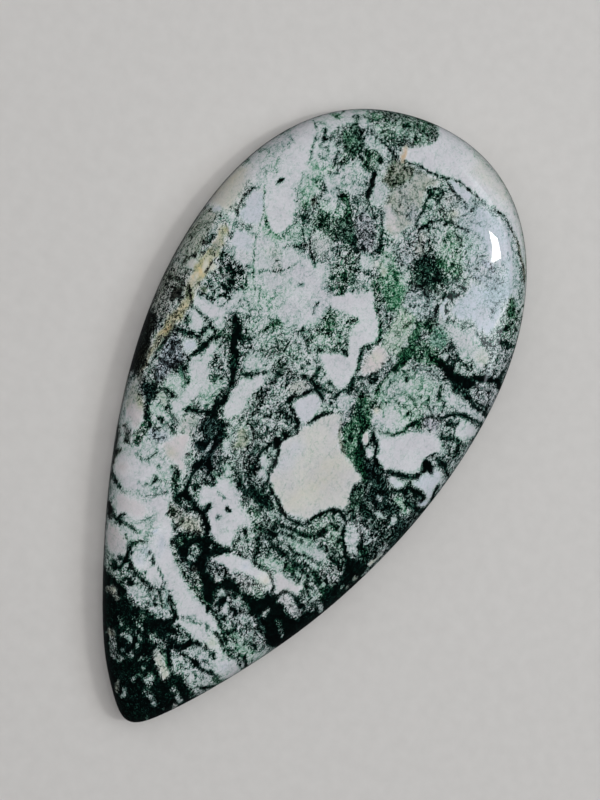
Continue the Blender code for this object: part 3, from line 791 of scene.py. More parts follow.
line(0.75, -0.7,12.8,.06, -0.6,12.5,.1, -0.4,12.25,.06)
line(0.5, -0.9,12.5,.2)
line(0.45, -4.9,10.6,.25)
line(0.9, -3.8,5.2,.25, -3.5,5.1,.2)
line(0.9, -0.4,5.4,.15, -0.4,5,.15, -0.3,4.5,.2)
line(0.8, -0.9,4.3,.2, -0.4,4.3,.2, broken=1.4)
line(0.9, 0.9,4.8,.15, 1.1,4.6,.15)
line(0.85, -1.7,4.8,.15)
patch(0.06, 3.1,9.3, 3.8,9.3, 4.2,8.8, 4.2,8, 3.9,7.3, 3.5,6.8, 3,6.6, 2.7,7, 2.6,7.7, 2.7,8.6, broken=1.8,
      colour=PINK, strength=0.9)
line(None, 3.4,8.4,.3, soft=0.4, colour=CREAM, strength=0.8)
line(0.85, 4.1,8.1,.08, 4.2,7.7,.1, 3.9,7.1,.08, 3.7,6.7,.05)
line(0.85, 4.2,7,.15, 4.1,6.5,.15)

# Right of the middle: pale mottled ground, and the white bean under its winding vein
patch(0.2, 5.3,8.9, 9.2,8.8, 9.4,7, 9,5.4, 8.4,4.4, 5.4,4.2, 4.9,6.4, broken=0.9, green=0.6)
line(0.88, 5.5,9.2,.25, 5.5,8.7,.35, 5.3,8.2,.2, green=0.9)
line(0.85, 5.9,4.7,.12, 6.1,4.5,.1, 6.6,4.45,.05)
line(0.75, 4.5,5,.25, 5.3,4.9,.2, 5.9,4.9,.12, broken=1.1, green=0.9)
line(0.8, 6.9,6,.08)
line(0.85, 7.4,5.8,.1)
line(0.85, 7.9,5.6,.12)
line(0.85, 5.9,5.4,.12)
line(0.85, 8.1,6,.06, 8.6,6.4,.1, 9.1,6.8,.15)
line(0.85, 7.8,6.7,.1, 7.4,6.8,.06)
line(0.8, 8.3,7.3,.1)
line(0.8, 9.2,8.8,.1, 9.5,8.5,.12, 9.6,8,.15, 9.7,7.5,.2, 9.9,7.4,.15, green=0.9)
line(0.85, 6.2,8.7,.15, 6.4,8.3,.12, 6.5,7.9,.08)
line(0.1, 7.6,8.9,.4, 8,8.4,.3, soft=0.3, broken=1.1)
patch(0.12, 10,8.6, 13.2,8.3, 13.6,7.9, 11.6,7.8, 10,7.8)
patch(0.2, 9.7,7.7, 11.3,7.6, 10.6,6.9, 9.9,6.6, 9.5,6.9, soft=0.2)
patch(0.26, 9.1,6.7, 8.2,6.6, 8.3,5.5, 9,5.3, soft=0.3, green=0.7)
patch(0.3, 9.4,6, 10.8,6.2, 10.8,5.2, 9.5,5.1, broken=1.3, green=0.0, colour=PURPLE, strength=0.6)
line(0.95, 14.3,7.65,.15, 13.2,7.7,.15, 12.5,7.6,.2, 11.9,7.5,.2, 11.3,7.15,.12, 10.8,6.6,.08, 10.3,6.3,.07,
      9.8,6.2,.06, 9.4,5.8,.06, 9.1,5.5,.05, 8.9,5.1,.08)
line(0.78, 8.9,5.2,.3, 9.3,5.1,.25, green=1.0)
line(0.9, 8.9,5.2,.2, 8.5,4.7,.2, 8.4,4.2,.15, 8.2,3.9,.12, 7.8,3.55,.1, 7.3,3.3,.12, 6.8,3.2,.12,
      6.2,3.15,.08, 5.7,3.1,.08, green=0.7)
patch(0.08, 5.6,4.4, 5.9,5.2, 6.6,5.3, 7.6,5.2, 8.2,4.9, 8.2,4.2, 7.8,3.8, 7.1,3.5, 6.3,3.3, 5.7,3.5,
      5.4,3.9)
line(None, 5.5,4.5,.25, soft=0.2, colour=PEACH)
patch(0.0, 6.1,3, 7,3.05, 7.8,3.3, 8.4,3.7, 8.7,4.2, 9.2,4.4, 9.6,4.8, 10.3,4.9, 11.1,4.9, 11.7,4.7, 12,4.2,
      11.7,3.5, 11.2,3, 11,2.5, 11,1.8, 10.7,1.4, 10.1,1.1, 9.4,0.95, 8.8,0.7, 8.3,0.65, 7.7,0.85, 7.3,1.2,
      7.4,1.7, 7.1,2.3, 6.6,2.6, soft=0.12)
line(0.9, 10.3,5,.15)
line(0.9, 11.3,5.4,.1, 11.6,5.1,.12, 11.9,5.3,.2, 12.3,5.4,.15)
line(0.85, 11.3,6.4,.15, 11.8,6.6,.2, 12.2,6.7,.15)
line(0.9, 12.8,5.7,.15, 13,5.3,.15, 13.3,4.9,.2, 13.1,4.6,.15)
line(0.95, 12,3.3,.15, 12.4,3.2,.3, 12.9,3.2,.25, 13.3,2.8,.12, 14.1,2.3,.12)
line(0.85, 13.2,4,.1, 13.4,4.3,.1, 13.6,4.5,.1)
line(0.5, 12.3,3.9,.25)
line(1.0, 11.4,2.5,.4, 11.9,2.4,.3, 12.1,2.2,.15)
line(0.05, 12.7,6.8,.5, 13.6,6.7,.5)
line(0.08, 12.7,6.1,.3, 13.3,6,.25)

# The left, below the middle: white windows between a strip of painted shadow along the rim,
# dark brown, and the main dark band
patch(0.5, -13.2,3.4, -6,6.5, -2,4.5, -2,-2, -2.5,-5, -12.6,-5, soft=0.3, broken=1.1, green=0.4)
patch(0.2, -7.4,7, -4.8,6.8, -4.4,5.2, -5.2,4.4, -6.2,4.9, -7,5.6, soft=0.3, broken=1.1, green=0.4)
line(0.8, -4.9,7.15,.08, -5.2,6.95,.22, -5.45,6.6,.14, -5.8,6,.07, -6,5.5,.05, broken=0.5, green=0.9)
# Painted shadow: the dark brown strip along the left rim.
patch(0.94, -15,2.9, -13.9,3.2, -13.6,2.5, -13.3,1, -13,0, -12.8,-1, -13,-1.8, -13.8,-2.2, -15,0,
      broken=1.1, green=0.0, colour=BROWN_AND_RIM_SHADOW)
line(0.9, -12.3,3,.15, -12.3,2,.2, -12.4,1.3,.15, -12.5,0.6,.15)
patch(0.03, -11.9,5.9, -9,6, -9.1,5.4, -9.4,5, -10.2,4.8, -11.3,5, -11.9,5.2)
line(0.9, -11.9,5.3,.1, -11.9,4.9,.08, -11.4,4.85,.08, -10.8,4.8,.06)
patch(0.03, -11.7,4.7, -10.9,4.7, -10.3,4.4, -10.1,3.9, -10.3,3.3, -10.8,3.2, -11.3,3.5, -11.5,4.1)
line(0.6, -11.6,4,.15, -11.5,3.6,.2, green=0.6)
patch(0.04, -9.7,4.9, -8.8,5, -8.6,4.5, -9.2,4.2, -9.5,4.5)
line(0.9, -9.9,4.5,.05, -9.7,4.3,.06, -9.55,4.1,.06)
line(0.9, -10,3.9,.1, -10.1,3.5,.1, -10.2,3.1,.15)
line(0.15, -9.5,3.75,.22)
line(0.15, -9.7,3.1,.15)
line(0.94, -12.2,2.7,.25, -11.5,2.8,.25, -11,2.9,.2, -10.4,3,.13, -10,2.9,.1, -9.5,2.8,.16, -9.3,2.7,.18,
      -9.2,3.3,.17, -9.1,3.6,.13, -8.9,3.8,.15, broken=1.4)
line(0.7, -8.9,4.1,.2, -8.5,4.1,.33, -8.1,4.1,.35, broken=0.9, green=0.7)
line(0.95, -9.4,2.6,.2, -9.5,2.2,.15, -9.8,1.8,.15, -10.1,1.3,.08)
patch(0.03, -11.3,2.2, -10.8,2.5, -10.2,2.7, -9.9,2.5, -9.8,2.2, -10.1,1.8, -10.3,1.4, -10.7,1.5, -11,1.9,
      colour=BLUE_AND_REFLECTION, strength=0.6)
patch(0.7, -12.1,2.4, -11.4,2.3, -11,1.6, -10.4,1.2, -10.2,0.8, -10.6,0.3, -10.7,-0.2, -10.9,-1, -11.4,-1.9,
      -11.9,-1.4, -12.1,0, -12.3,1, broken=1.1, green=0.0, colour=BLUE_AND_REFLECTION, strength=0.6)
line(1.0, -11.4,1.9,.2)
line(0.95, -11.9,1.6,.15)
line(1.0, -11.5,1.2,.2)
line(0.9, -11.6,0.8,.15)
line(1.0, -10.8,0.4,.15, -10.4,0.5,.14, -10,0.3,.08, -9.8,0.6,.06)
line(1.0, -11.9,-0.1,.2, -11.3,-0.1,.15, -10.8,-0.1,.15, -10.5,0,.1)
line(0.9, -11.3,-0.7,.12)
# Painted shadow at the rim, in brown.
line(0.85, -12.8,-1.8,.2, -12.5,-2.5,.15, broken=1.2, colour=BROWN_AND_RIM_SHADOW)
line(0.95, -10.7,-1.2,.15)
line(0.9, -11.8,-1,.12, -11.5,-1.7,.15)
line(0.52, -10.2,0,.15, -9.9,-0.4,.2, -9.75,-0.8,.16, broken=0.2, green=0.4)
patch(0.1, -10.8,-1.9, -10.8,-0.8, -10.2,-0.6, -9.3,-0.9, -9.3,-1.8)
patch(0.03, -9.1,3.1, -8.4,3.3, -8.5,2.4, -8.4,1.9, -8.4,1.3, -8,0.9, -7.8,0, -7.8,-0.9, -8.1,-1.6,
      -8.3,-2.4, -8.2,-3.6, -9.3,-3.6, -9.6,-2.8, -9.3,-1.9, -9.2,-1.2, -9,-0.6, -9.4,-0.1, -9.7,0.6,
      -9.9,1.2, -9.3,1.8)
line(0.9, -8.05,2.05,.15)
line(0.85, -8.1,1.5,.12)
line(0.8, -9.4,-0.3,.08, -9.1,-0.7,.08)
patch(0.35, -8.3,3.2, -7.2,3.3, -6.9,2.2, -6.9,1.3, -7.7,1, -8.1,1.5, -8.1,2.2, broken=1.3)
patch(0.2, -7.8,0.2, -7,0.8, -6.6,1.2, -6.5,0.3, -6.6,-0.5, -6.7,-1.3, -7.5,-1.6, -7.7,-0.8, green=0.6)
line(0.75, -7.8,0.9,.15, -7.5,0.8,.2, -7.2,0.9,.2, -6.9,1.1,.1, green=0.7)
line(0.7, -7.5,0.4,.2)
line(0.98, -8.2,5.6,.2, -7.8,5.2,.33, -7.6,4.6,.32, -7.4,4,.3, -7.1,3.5,.35, -6.8,2.9,.35, -6.6,2.3,.4,
      -6.4,1.9,.25, -6.2,1.3,.15, -6.1,0.8,.12, -6,0.2,.15, -5.9,-0.4,.2, -5.9,-0.8,.2, -6.3,-0.9,.16,
      -6.4,-1.5,.16, -6.1,-2,.25, -5.7,-2.5,.35, -5.2,-2.9,.3, -4.7,-3.1,.3, broken=1.0)
line(0.85, -6.4,0.3,.06, -6.5,-0.4,.08, -6.6,-1,.1)
patch(0.12, -7.9,0.1, -6.9,0.3, -6.75,-1.6, -7.9,-1.8, soft=0.2, broken=1.1, green=0.5)
line(0.9, -7,4.5,.3, -6.6,4.8,.15, -6.3,4.5,.1)
line(0.5, -6.8,3.9,.28, broken=1.0)
patch(0.12, -5.9,4, -5,4.1, -4.3,3.9, -4.1,3.4, -4.5,2.9, -5.2,2.4, -5.8,2.4, -6.2,2.8)
patch(0.03, -5.7,1.7, -5.2,1.9, -4.7,2.3, -4.2,2.8, -3.8,2.9, -3.6,2.3, -4,1.8, -4.2,1, -4.2,0, -4.4,-0.9,
      -4.7,-1.4, -5,-1.9, -5.4,-1.6, -5.7,-1, -5.6,-0.4, -5.7,0.3, -5.6,1)
line(0.95, -5.8,2.1,.15, -5.3,2.1,.15, -5,2.2,.1, -4.6,2.6,.06, -4.2,2.9,.06, -4,3.1,.05)
line(0.95, -5.7,-1.4,.06, -5.4,-1.9,.06, -5,-2.4,.08)
patch(0.9, -6.6,-2.4, -5.8,-2.1, -5,-2.7, -4.6,-3, -4.5,-3.5, -4.5,-4.5, -4.4,-5.3, -4.2,-5.8, -3.8,-6.2,
      -3.35,-6.7, -3.6,-6.7, -4.1,-6.5, -4.4,-6.1, -4.9,-6.1, -5.2,-6.4, -5.6,-6.4, -5.6,-6.2, -5.3,-5.5,
      -5.6,-5.2, -6.2,-5, -6.5,-5, -6.3,-4.5, -5.9,-4, -6.7,-3.6, -6.8,-3, green=0.0)
line(0.4, -5.3,-3.3,.18)
line(0.6, -6,-4.1,.15, broken=1.0)
line(0.97, -6.1,-4.6,.25, -5.4,-4.5,.35, -4.9,-4,.3, broken=1.1)
line(0.25, -5.2,-4,.05, -5.3,-5,.05)
line(0.95, -6.6,-2,.2, -7.2,-2.2,.15, -7.7,-2.4,.2, -8.1,-2.5,.15, -8.5,-2.7,.06)
line(0.9, -8.1,-2.9,.14)
patch(0.12, -8,-2.8, -7,-2.6, -6.8,-3.4, -6.9,-4.2, -7.9,-4.4, -8.2,-3.6, broken=1.4, colour=BEIGE_AND_RIM_SHADE,
      strength=0.4)
line(0.9, -10.9,-2,.1, -10.4,-2,.15, -10,-1.9,.1, -9.8,-2.1,.12, -9.5,-2,.1)
line(0.88, -10.1,-2.4,.08, -9.8,-2.8,.08, -9.6,-3.2,.06, -9.2,-3.4,.06, -8.8,-3.6,.04)
line(0.2, -10.6,-2.5,.28, -10.1,-2.9,.2, colour=BEIGE_AND_RIM_SHADE, strength=0.4)
patch(0.93, -12.5,-2, -11.9,-2, -11.3,-2, -11,-2.4, -11,-3.2, -11,-4, -11.2,-4.1, -11.7,-3.7, -12.1,-3.1,
      -12.6,-2.5, broken=1.3, green=0.1)
patch(0.15, -12.9,-1.9, -12.5,-2.6, -12.1,-3.3, -11.5,-4, -11.1,-4.4, -11.3,-5, -12.5,-5, -12.9,-3.8,
      -13.1,-2.6, colour=BEIGE_AND_RIM_SHADE, strength=0.8)
line(0.36, -12.1,-3.4,.15, -11.6,-4,.12, soft=0.3, broken=0.9, colour=TAN, strength=0.8)
patch(0.08, -10.9,-3, -10.3,-3.3, -9.7,-3.5, -9,-3.8, -8.7,-4.2, -9.4,-4.1, -10,-4.1, -10.8,-4.2, -11,-3.6)
line(0.95, -9.9,-4.2,.15, -9.6,-4.2,.15)

# The centre: cell walls round the big cream window, with a blue-white diamond above it
line(0.86, -3.3,4,.28, -2.7,3.8,.3, -2.4,3.9,.15, broken=1.4, green=0.6)
line(0.95, -3.1,3.5,.2, -3.1,2.8,.12, -3.1,2.4,.12)
line(0.9, -2.2,3.2,.08, -2,2.9,.1, -2.1,2.2,.12, -2.1,1.6,.06)
line(0.85, -3.3,1.8,.2, -3.4,1.4,.22, -3.3,0.8,.22, -3.2,0.4,.15, -3.2,0,.12, broken=1.4)
line(0.8, -2.9,0.15,.06, -2.6,0.35,.08, -2.3,0.45,.05)
patch(0.32, -3.1,3.1, -1.4,2.3, -1.5,0.2, -2.9,-0.4, soft=0.3, broken=1.3)
patch(0.34, -2.9,-0.6, -0.9,0.6, -0.8,-1.3, -1.3,-2.6, -2.4,-1.6, soft=0.25, broken=1.3)
patch(0.22, -4.8,-1.5, -2.5,-1.5, -2.4,-3.4, -4.2,-3.2, soft=0.3, broken=1.2, green=0.4)
patch(0.36, -4.3,-3.2, -2.5,-3.4, -2.3,-4.7, -4.2,-4.9, soft=0.3, broken=1.3, green=0.2)
patch(0.2, -1.7,3.6, -0.8,3.8, -0.3,3.6, -0.5,3.1, -1,2.6, -1.5,2.4, -1.9,2.9, broken=1.5, colour=BEIGE_AND_RIM_SHADE,
      strength=0.5)
patch(0.63, 3.4,5.2, 4.5,5.2, 5.6,3.6, 5.7,2.2, 5.3,1.4, 5.9,0.9, 6.6,0.4, 6.9,-0.6, 6,-0.5, 5,0.1, 4.2,0.6,
      3.8,1.8, 3.9,3.2, broken=0.6, green=1.1)
line(0.88, 5.8,0.9,.3, 6.3,0.3,.4, 7,-0.3,.4, 7.5,-0.8,.35, soft=0.2, green=1.1)
line(0.88, 4.1,4.2,.2, 4.7,3.4,.3, 5.3,2.5,.3, broken=0.8, green=0.9)
line(1.0, -0.1,3.5,.12, -0.4,3.1,.12, -0.7,2.6,.12, -1.2,2.4,.12, -1.3,1.9,.2, -1.2,1.7,.12)
line(0.98, -1.2,4.15,.1, -0.5,4.1,.13, 0.2,4,.15, 0.9,4.05,.07, 1.5,4,.07, 1.9,4,.1)
line(0.98, 0.2,3.75,.18, 0.7,3.6,.15, 1,3.3,.1, 1.2,3.05,.08)
line(0.95, 1.9,4,.12, 2.1,4.4,.15)
line(0.9, 1.9,3.4,.12, 1.9,3.1,.1)
patch(0.12, 2.2,3.1, 2.2,4.5, 3.3,4.6, 3.4,3.2)
patch(0.2, 1.1,3, 2,2.9, 2.8,3.2, 3.2,3.2, 2.6,2.7, 1.9,2.3, 1.4,2, 1.2,1.4, 1,1.4, green=0.6)
patch(0.0, -0.95,1.95, -0.5,2.5, -0.1,3.1, 0.3,3.3, 0.8,3.2, 1.1,2.7, 1.1,2.1, 1,1.5, 0.8,0.9, 0.4,0.8, 0,1,
      -0.5,1.4, soft=0.1, colour=BLUE_AND_REFLECTION, strength=0.25)
patch(0.0, 3.1,3, 2.6,2.7, 1.9,2.2, 1.6,1.9, 1.4,1.4, 1.3,0.9, 0.9,0.5, 0.6,0.1, 0.6,-0.2, 0.2,-0.6, 0.1,-1,
      -0.2,-1.5, -0.1,-1.9, 0.1,-2.4, 0.2,-3, 0.3,-4, 0.5,-4.5, 0.9,-4.9, 1.5,-5.3, 2.2,-5.9, 3,-6.2,
      3.8,-6.1, 4.7,-6, 4.9,-5.5, 5.2,-5, 5.8,-4.3, 6.2,-4, 6.9,-3.9, 7.1,-3.2, 6.8,-2.6, 6.7,-1.9, 7,-1.3,
      7.1,-0.9, 6.4,-0.7, 5.6,-0.2, 5,0, 4.3,0.3, 3.9,0.8, 3.5,1.3, 3.3,2, 3.2,2.6, soft=0.1, broken=1.4,
      colour=CREAM, strength=0.45)
line(None, 4.6,-1.8,.8, 4.2,-3,.6, soft=1.3, colour=SAND, strength=0.8)
line(None, 0.6,-3,.3, 0.9,-1.2,.3, soft=0.9, colour=BLUE_AND_REFLECTION, strength=0.35)
line(None, 2.8,-5,.6, soft=0.8, colour=CREAM, strength=0.8)
line(0.95, 3.1,3,.06, 2.5,2.7,.07, 2,2.45,.07, 1.7,2.2,.1, 1.5,1.9,.08, 1.2,1.5,.07, 1,1.1,.06)
line(0.38, 3.25,2.6,.06, 3.45,1.9,.1, 3.8,1.2,.12, 4.3,0.6,.1, 4.9,0.15,.06, broken=1.3, colour=OLIVE,
      strength=0.8)
line(1.0, -1,1.6,.08, -0.7,1.35,.1, -0.3,1.15,.1, 0,1,.09, 0.2,0.6,.1, 0.35,0.2,.11, 0.6,-0.05,.08,
      0.2,-0.4,.1, 0,-0.7,.1, -0.1,-1,.1, -0.3,-1.5,.12, -0.4,-1.9,.12, broken=0.9)
line(1.0, -1.6,0.95,.08, -1,0.85,.09, -0.5,0.75,.08, -0.1,0.65,.1)
line(1.0, -0.2,-0.7,.2, -0.5,-0.6,.12)
line(1.0, -0.6,-1.3,.18, -0.5,-1.7,.2)
line(1.0, -0.9,-1.7,.1, -1.1,-2.2,.12, -1.25,-2.7,.12, -1.4,-3.1,.15, -1.3,-3.5,.15, -1.1,-3.8,.12,
      -0.9,-3.95,.06)
line(0.97, -0.2,-2,.08, 0,-2.5,.1, 0.1,-3,.12, 0.1,-3.5,.1, 0.1,-4,.08, 0.3,-4.7,.08, green=0.5)
line(0.25, -0.7,-2.3,.28, -0.3,-2.5,.15)
line(0.03, -0.9,-3.2,.28, -0.5,-3.6,.28)
line(0.12, -0.4,-4.3,.35, 0,-4.6,.22)
patch(0.8, -2.5,-2.9, -1.5,-2.8, -1.2,-3.7, -0.8,-4, -0.7,-4.6, -1,-5, -1.7,-5, -2.3,-4.2, soft=0.2,
      broken=1.5)
line(0.95, -1.4,-3.9,.12, -1.3,-4.4,.2, -1.2,-4.8,.1, broken=1.0)
line(0.9, -1.8,-0.9,.07, -1.7,-1.4,.08, -2,-1.8,.05)
line(0.95, -2.7,-0.9,.15, -2.8,-1.2,.12, -3.2,-1.2,.12)
line(0.85, -3.4,-1.1,.1, -2.9,-1.5,.1, -2.5,-1.9,.06, -2.3,-2.6,.05, broken=1.4, green=0.6)
line(0.25, -3.3,-2.2,.5, -3,-2.9,.4, -3.4,-3.4,.25, soft=0.2, broken=0.8, colour=TAN, strength=0.5)
line(0.75, -1.8,-2.6,.2, -1.8,-3.3,.25)
line(0.9, -3.2,-3.8,.1, -3,-4.2,.09)
line(0.12, -4.2,-3.5,.22, -3.8,-4.2,.18)
line(0.06, -2.9,-4.8,.2)
line(0.15, -3.7,3,.3, soft=0.2, broken=1.2)
line(0.06, -3.9,4.5,.05, -3.95,3.3,.05)
line(0.06, -4.4,0.6,.06, -4.4,-1,.05)
line(0.9, -4.1,-4.8,.12)
line(0.9, -3.9,-5.2,.2, -3.6,-4.7,.12)

# Right, below the middle: the bean's black edge, a black mass and small cells at the rim
patch(0.87, 7.8,-2, 12.7,-2.2, 12.6,-4.9, 11.6,-7, 8.8,-7, 7.9,-3.8, broken=1.4, green=0.2)
line(0.93, 8.3,-2.9,.35, 9,-3.4,.3, 9.9,-3.7,.2, broken=1.2)
patch(0.93, 6.5,1, 6.8,0.9, 7.3,0.8, 8.3,0.4, 8.9,0.2, 9.4,-0.3, 10,-0.5, 10.2,-1, 10.1,-1.5, 10.8,-1.6,
      11.5,-2.1, 12.1,-2.2, 12.4,-2.6, 11,-2.4, 9.8,-2.4, 9,-2.4, 8.1,-2.2, 7.9,-1.6, 7.8,-1.2, 7.6,-0.7,
      7,-0.1, 6.4,0.4, soft=0.25, broken=1.3, green=0.1)
patch(0.84, 11,0.3, 13.8,0.9, 13.6,-2.4, 12,-2.3, 10.4,-1.4, 10.2,-0.4, broken=1.2)
line(1.0, 6.1,2.8,.08, 6.4,2.3,.11, 6.9,2.1,.09, 7,1.6,.08, 7.2,1.1,.08, 7.5,0.8,.1, 8,0.6,.12,
      8.4,0.45,.12, 9,0.6,.14, 9.6,0.75,.2, 10.2,0.85,.26, 10.7,1,.26, 11.1,1.1,.16, 11.3,1.5,.16,
      11.5,2,.16)
line(0.85, 11.3,3.2,.15, 11.7,3.8,.12, broken=1.2)
line(0.95, 5.3,1.9,.12, 5.7,1.3,.2, 6.1,0.9,.2, broken=1.0)
line(0.06, 5.6,2.4,.17, 5.9,1.9,.14, colour=PINK)
line(0.04, 6.6,1.3,.22, 6.8,1.1,.17)
patch(0.0, 9,0.15, 9.6,0.35, 10.2,0.35, 10.5,0.4, 10.6,0.1, 10.3,-0.2, 9.9,-0.4, 9.5,-0.2, soft=0.1,
      colour=BLUE_AND_REFLECTION, strength=0.3)
line(0.15, 9.3,-0.55,.06, 9.6,-0.55,.05)
line(0.2, 9.7,0.5,.05, 10,0.45,.05)
patch(0.02, 11.1,0.9, 11.3,1.3, 11.6,1.8, 12,2.6, 12.9,2.6, 13.4,2, 13.1,1.4, 13.1,0.9, 13.3,0.4, 13.2,-0.2,
      12.9,0.1, 12.6,0.3, 12,0.5, 11.3,0.5, 11,0.6, soft=0.1, colour=BLUE_AND_REFLECTION, strength=0.4)
line(0.04, 12.6,-0.5,.22, 13,-0.3,.18, colour=BLUE_AND_REFLECTION)
line(1.0, 11.3,2.6,.35, 11.8,2.4,.3, 12.1,2.2,.15, broken=0.9)
line(0.97, 9.5,0.7,.12, 10.2,0.9,.15, 10.8,1.05,.15, 11.15,1.1,.13, 11.4,1.5,.1, broken=0.8)
line(0.95, 13.3,1.4,.15, 13.3,0.8,.15, 13.5,0.2,.1)
line(1.0, 10.8,0.2,.15, 11.3,0.2,.2, 12,0.2,.2, 12.5,0.1,.15, 12.6,-0.3,.12, 12.4,-0.5,.1)
line(1.0, 10.1,-0.5,.12, 10.5,-0.3,.1, 11,-0.3,.12)
patch(0.2, 10.3,-1.1, 10.7,-0.7, 11.1,-1, 11.7,-1.3, 12.1,-1.5, 11.9,-1.9, 11.5,-2, 11.1,-1.6, 10.4,-1.4,
      green=0.8)
line(0.95, 11.4,-1,.2, 12.1,-1.1,.3, 12.9,-1.1,.25, 13.4,-1,.2, broken=1.0)
line(0.12, 9.35,-1.7,.14)
line(0.12, 9,-1.6,.1)
line(0.1, 9.6,-2.9,.13, 10,-2.9,.18, 10.4,-3,.08)
line(0.1, 11.2,-2.7,.22, 11.2,-3.1,.13)
line(0.3, 8.8,-2.5,.05, 9.2,-2.9,.05)
line(0.25, 9.3,-3.7,.05, 10,-3.6,.05)
line(0.25, 8.4,-3.9,.12, 8.8,-4.4,.18, 9.3,-4.7,.2, broken=1.6, colour=PURPLE, strength=0.3)
patch(0.1, 7.9,-4.7, 8.3,-4.5, 8.8,-4.8, 9.3,-5.2, 9.4,-5.7, 9.6,-6.3, 9.8,-6.9, 9.2,-6.9, 8.8,-6.8,
      8.5,-6.3, 8.1,-5.7, 7.8,-5.2, broken=1.4)
line(0.17, 9.6,-4.8,.25, 10.2,-5.1,.33, broken=1.5)
line(0.12, 11.5,-5.2,.33, broken=1.5)
patch(0.35, 5.3,-4.9, 6.4,-4.5, 7.5,-4.9, 8.1,-6.2, 8.6,-7.2, 5,-7.2, 5,-6.2, broken=1.2, green=0.6)
patch(0.85, 7.1,-1.1, 7.8,-1.6, 8,-3.6, 7.2,-3.8, 6.9,-2.6, 6.8,-1.7, broken=1.1, green=0.6)
line(0.9, 7.7,-3.6,.1, 8,-4.2,.12)
line(0.92, 7.7,-4.9,.12, 7.8,-5.5,.12, 8.1,-6,.12, 8.4,-6.5,.12, 8.8,-6.9,.1)
line(0.97, 7.6,-4.6,.15, 7.2,-4.3,.15, 6.7,-4.1,.12, 6.1,-4.3,.12, 5.8,-4.6,.1, 5.4,-5.1,.12, 5.1,-5.6,.12,
      4.9,-6,.12, 4.7,-6.3,.1)
line(0.15, 7.6,-4.8,.18)
line(0.9, 7.1,-5.4,.25, 6.6,-5.5,.12)
line(0.9, 6.5,-6,.15, 6.3,-6.3,.25, 6.1,-6.6,.15)
line(0.85, 5.5,-6.8,.2)
line(0.85, 7.9,-6.3,.07, 7.9,-6.8,.1)
line(0.85, 7,-6.8,.12)
patch(0.96, 8.8,-7, 9.7,-7, 10.6,-6.9, 11.4,-7.2, 11.2,-8, 10.9,-9, 9.5,-9, 8.9,-8.2, 8.3,-7.6)
line(0.15, 9.3,-8.1,.08)
line(0.3, 10.8,-8.4,.12, colour=BEIGE_AND_RIM_SHADE)
line(0.85, 9.6,-5.9,.2, 10.2,-6.2,.3, 10.6,-6.6,.3, green=0.6)
line(0.12, 11.8,-5.8,.13, 11.5,-6.5,.2, 11.3,-6.9,.12, colour=CREAM)
patch(0.9, 11.5,-2.4, 13.2,-2.4, 12.7,-5, 11.9,-4.9)

# The lower left: cream and pink-white windows down the rim, joined by a long slanting white
# band, with painted shadow in brown along the rim
patch(0.1, -12.8,-4.4, -7,-4.6, -6,-7.4, -6,-14.5, -8.8,-14.6, -11.5,-8.6, soft=0.3, green=0.25)
patch(0.05, -12.3,-4.2, -11.6,-4.2, -11.1,-4.6, -11,-5.2, -11,-5.9, -11.5,-5.8, -12,-5.5, -12.4,-5,
      colour=PINK, strength=0.8)
line(0.95, -11.1,-4.2,.15, -10.9,-4.5,.2, -10.8,-4.7,.2, -10.4,-4.9,.2, -9.9,-5.1,.15)
line(0.62, -10.4,-5.2,.4, -10.5,-5.8,.4, -10.6,-6.3,.4, -10.5,-6.8,.25, broken=1.2, green=0.8)
line(0.95, -10.9,-4.6,.15, -10.4,-4.85,.22, -9.9,-5.05,.17, -9.5,-5.1,.1)
line(0.95, -10.6,-6.9,.15, -10.3,-6.95,.12)
line(0.85, -9,-4.5,.15, -8.7,-4.4,.15, -8.4,-4.7,.12, -8.1,-4.8,.1, green=0.5)
line(0.85, -7.7,-4.45,.12, -7.5,-4.4,.06)
line(0.85, -9.5,-5,.12, -9.3,-5,.1)
patch(0.35, -10.2,-5.1, -9.3,-5.2, -8.8,-5, -8.4,-5.4, -8.6,-5.9, -9.6,-6.1, -10.1,-5.9, broken=0.9,
      green=0.0, colour=BLUE_AND_REFLECTION, strength=0.5)
line(0.8, -10.4,-5,.25, -10.1,-5.1,.25, -9.8,-5.2,.12, broken=0.9, green=0.5)
patch(0.03, -7.9,-4.8, -7.3,-4.2, -6.9,-4.3, -6.6,-5, -6.7,-5.5, -6.6,-6.2, -6.2,-6.7, -5.9,-7.3, -6.3,-7.3,
      -7,-6.9, -7.7,-6.8, -8.1,-6.6, -8.6,-6, -8.4,-5.5, colour=PINK, strength=0.7)
line(None, -7.7,-6.3,.25, soft=0.45, colour=SAND, strength=0.9)
line(0.97, -6.5,-5.8,.12)
line(0.9, -6.35,-5.55,.1)
patch(0.3, -6.6,-5.2, -6,-5.3, -5.8,-6, -5.9,-6.6, -6.5,-6.2, broken=1.3, green=0.7)
patch(0.1, -10.2,-6.2, -8.8,-6.1, -8.2,-7, -8.3,-7.8, -9.8,-8, -10.3,-7.2, broken=1.1, green=0.3)
line(0.8, -8.75,-6.6,.03, -8.85,-7,.03, -9,-7.5,.04, -9.2,-7.7,.04, -9.45,-7.8,.06, -9.9,-7.75,.03)
line(0.6, -10.1,-7.6,.08, -9.95,-7.75,.05)
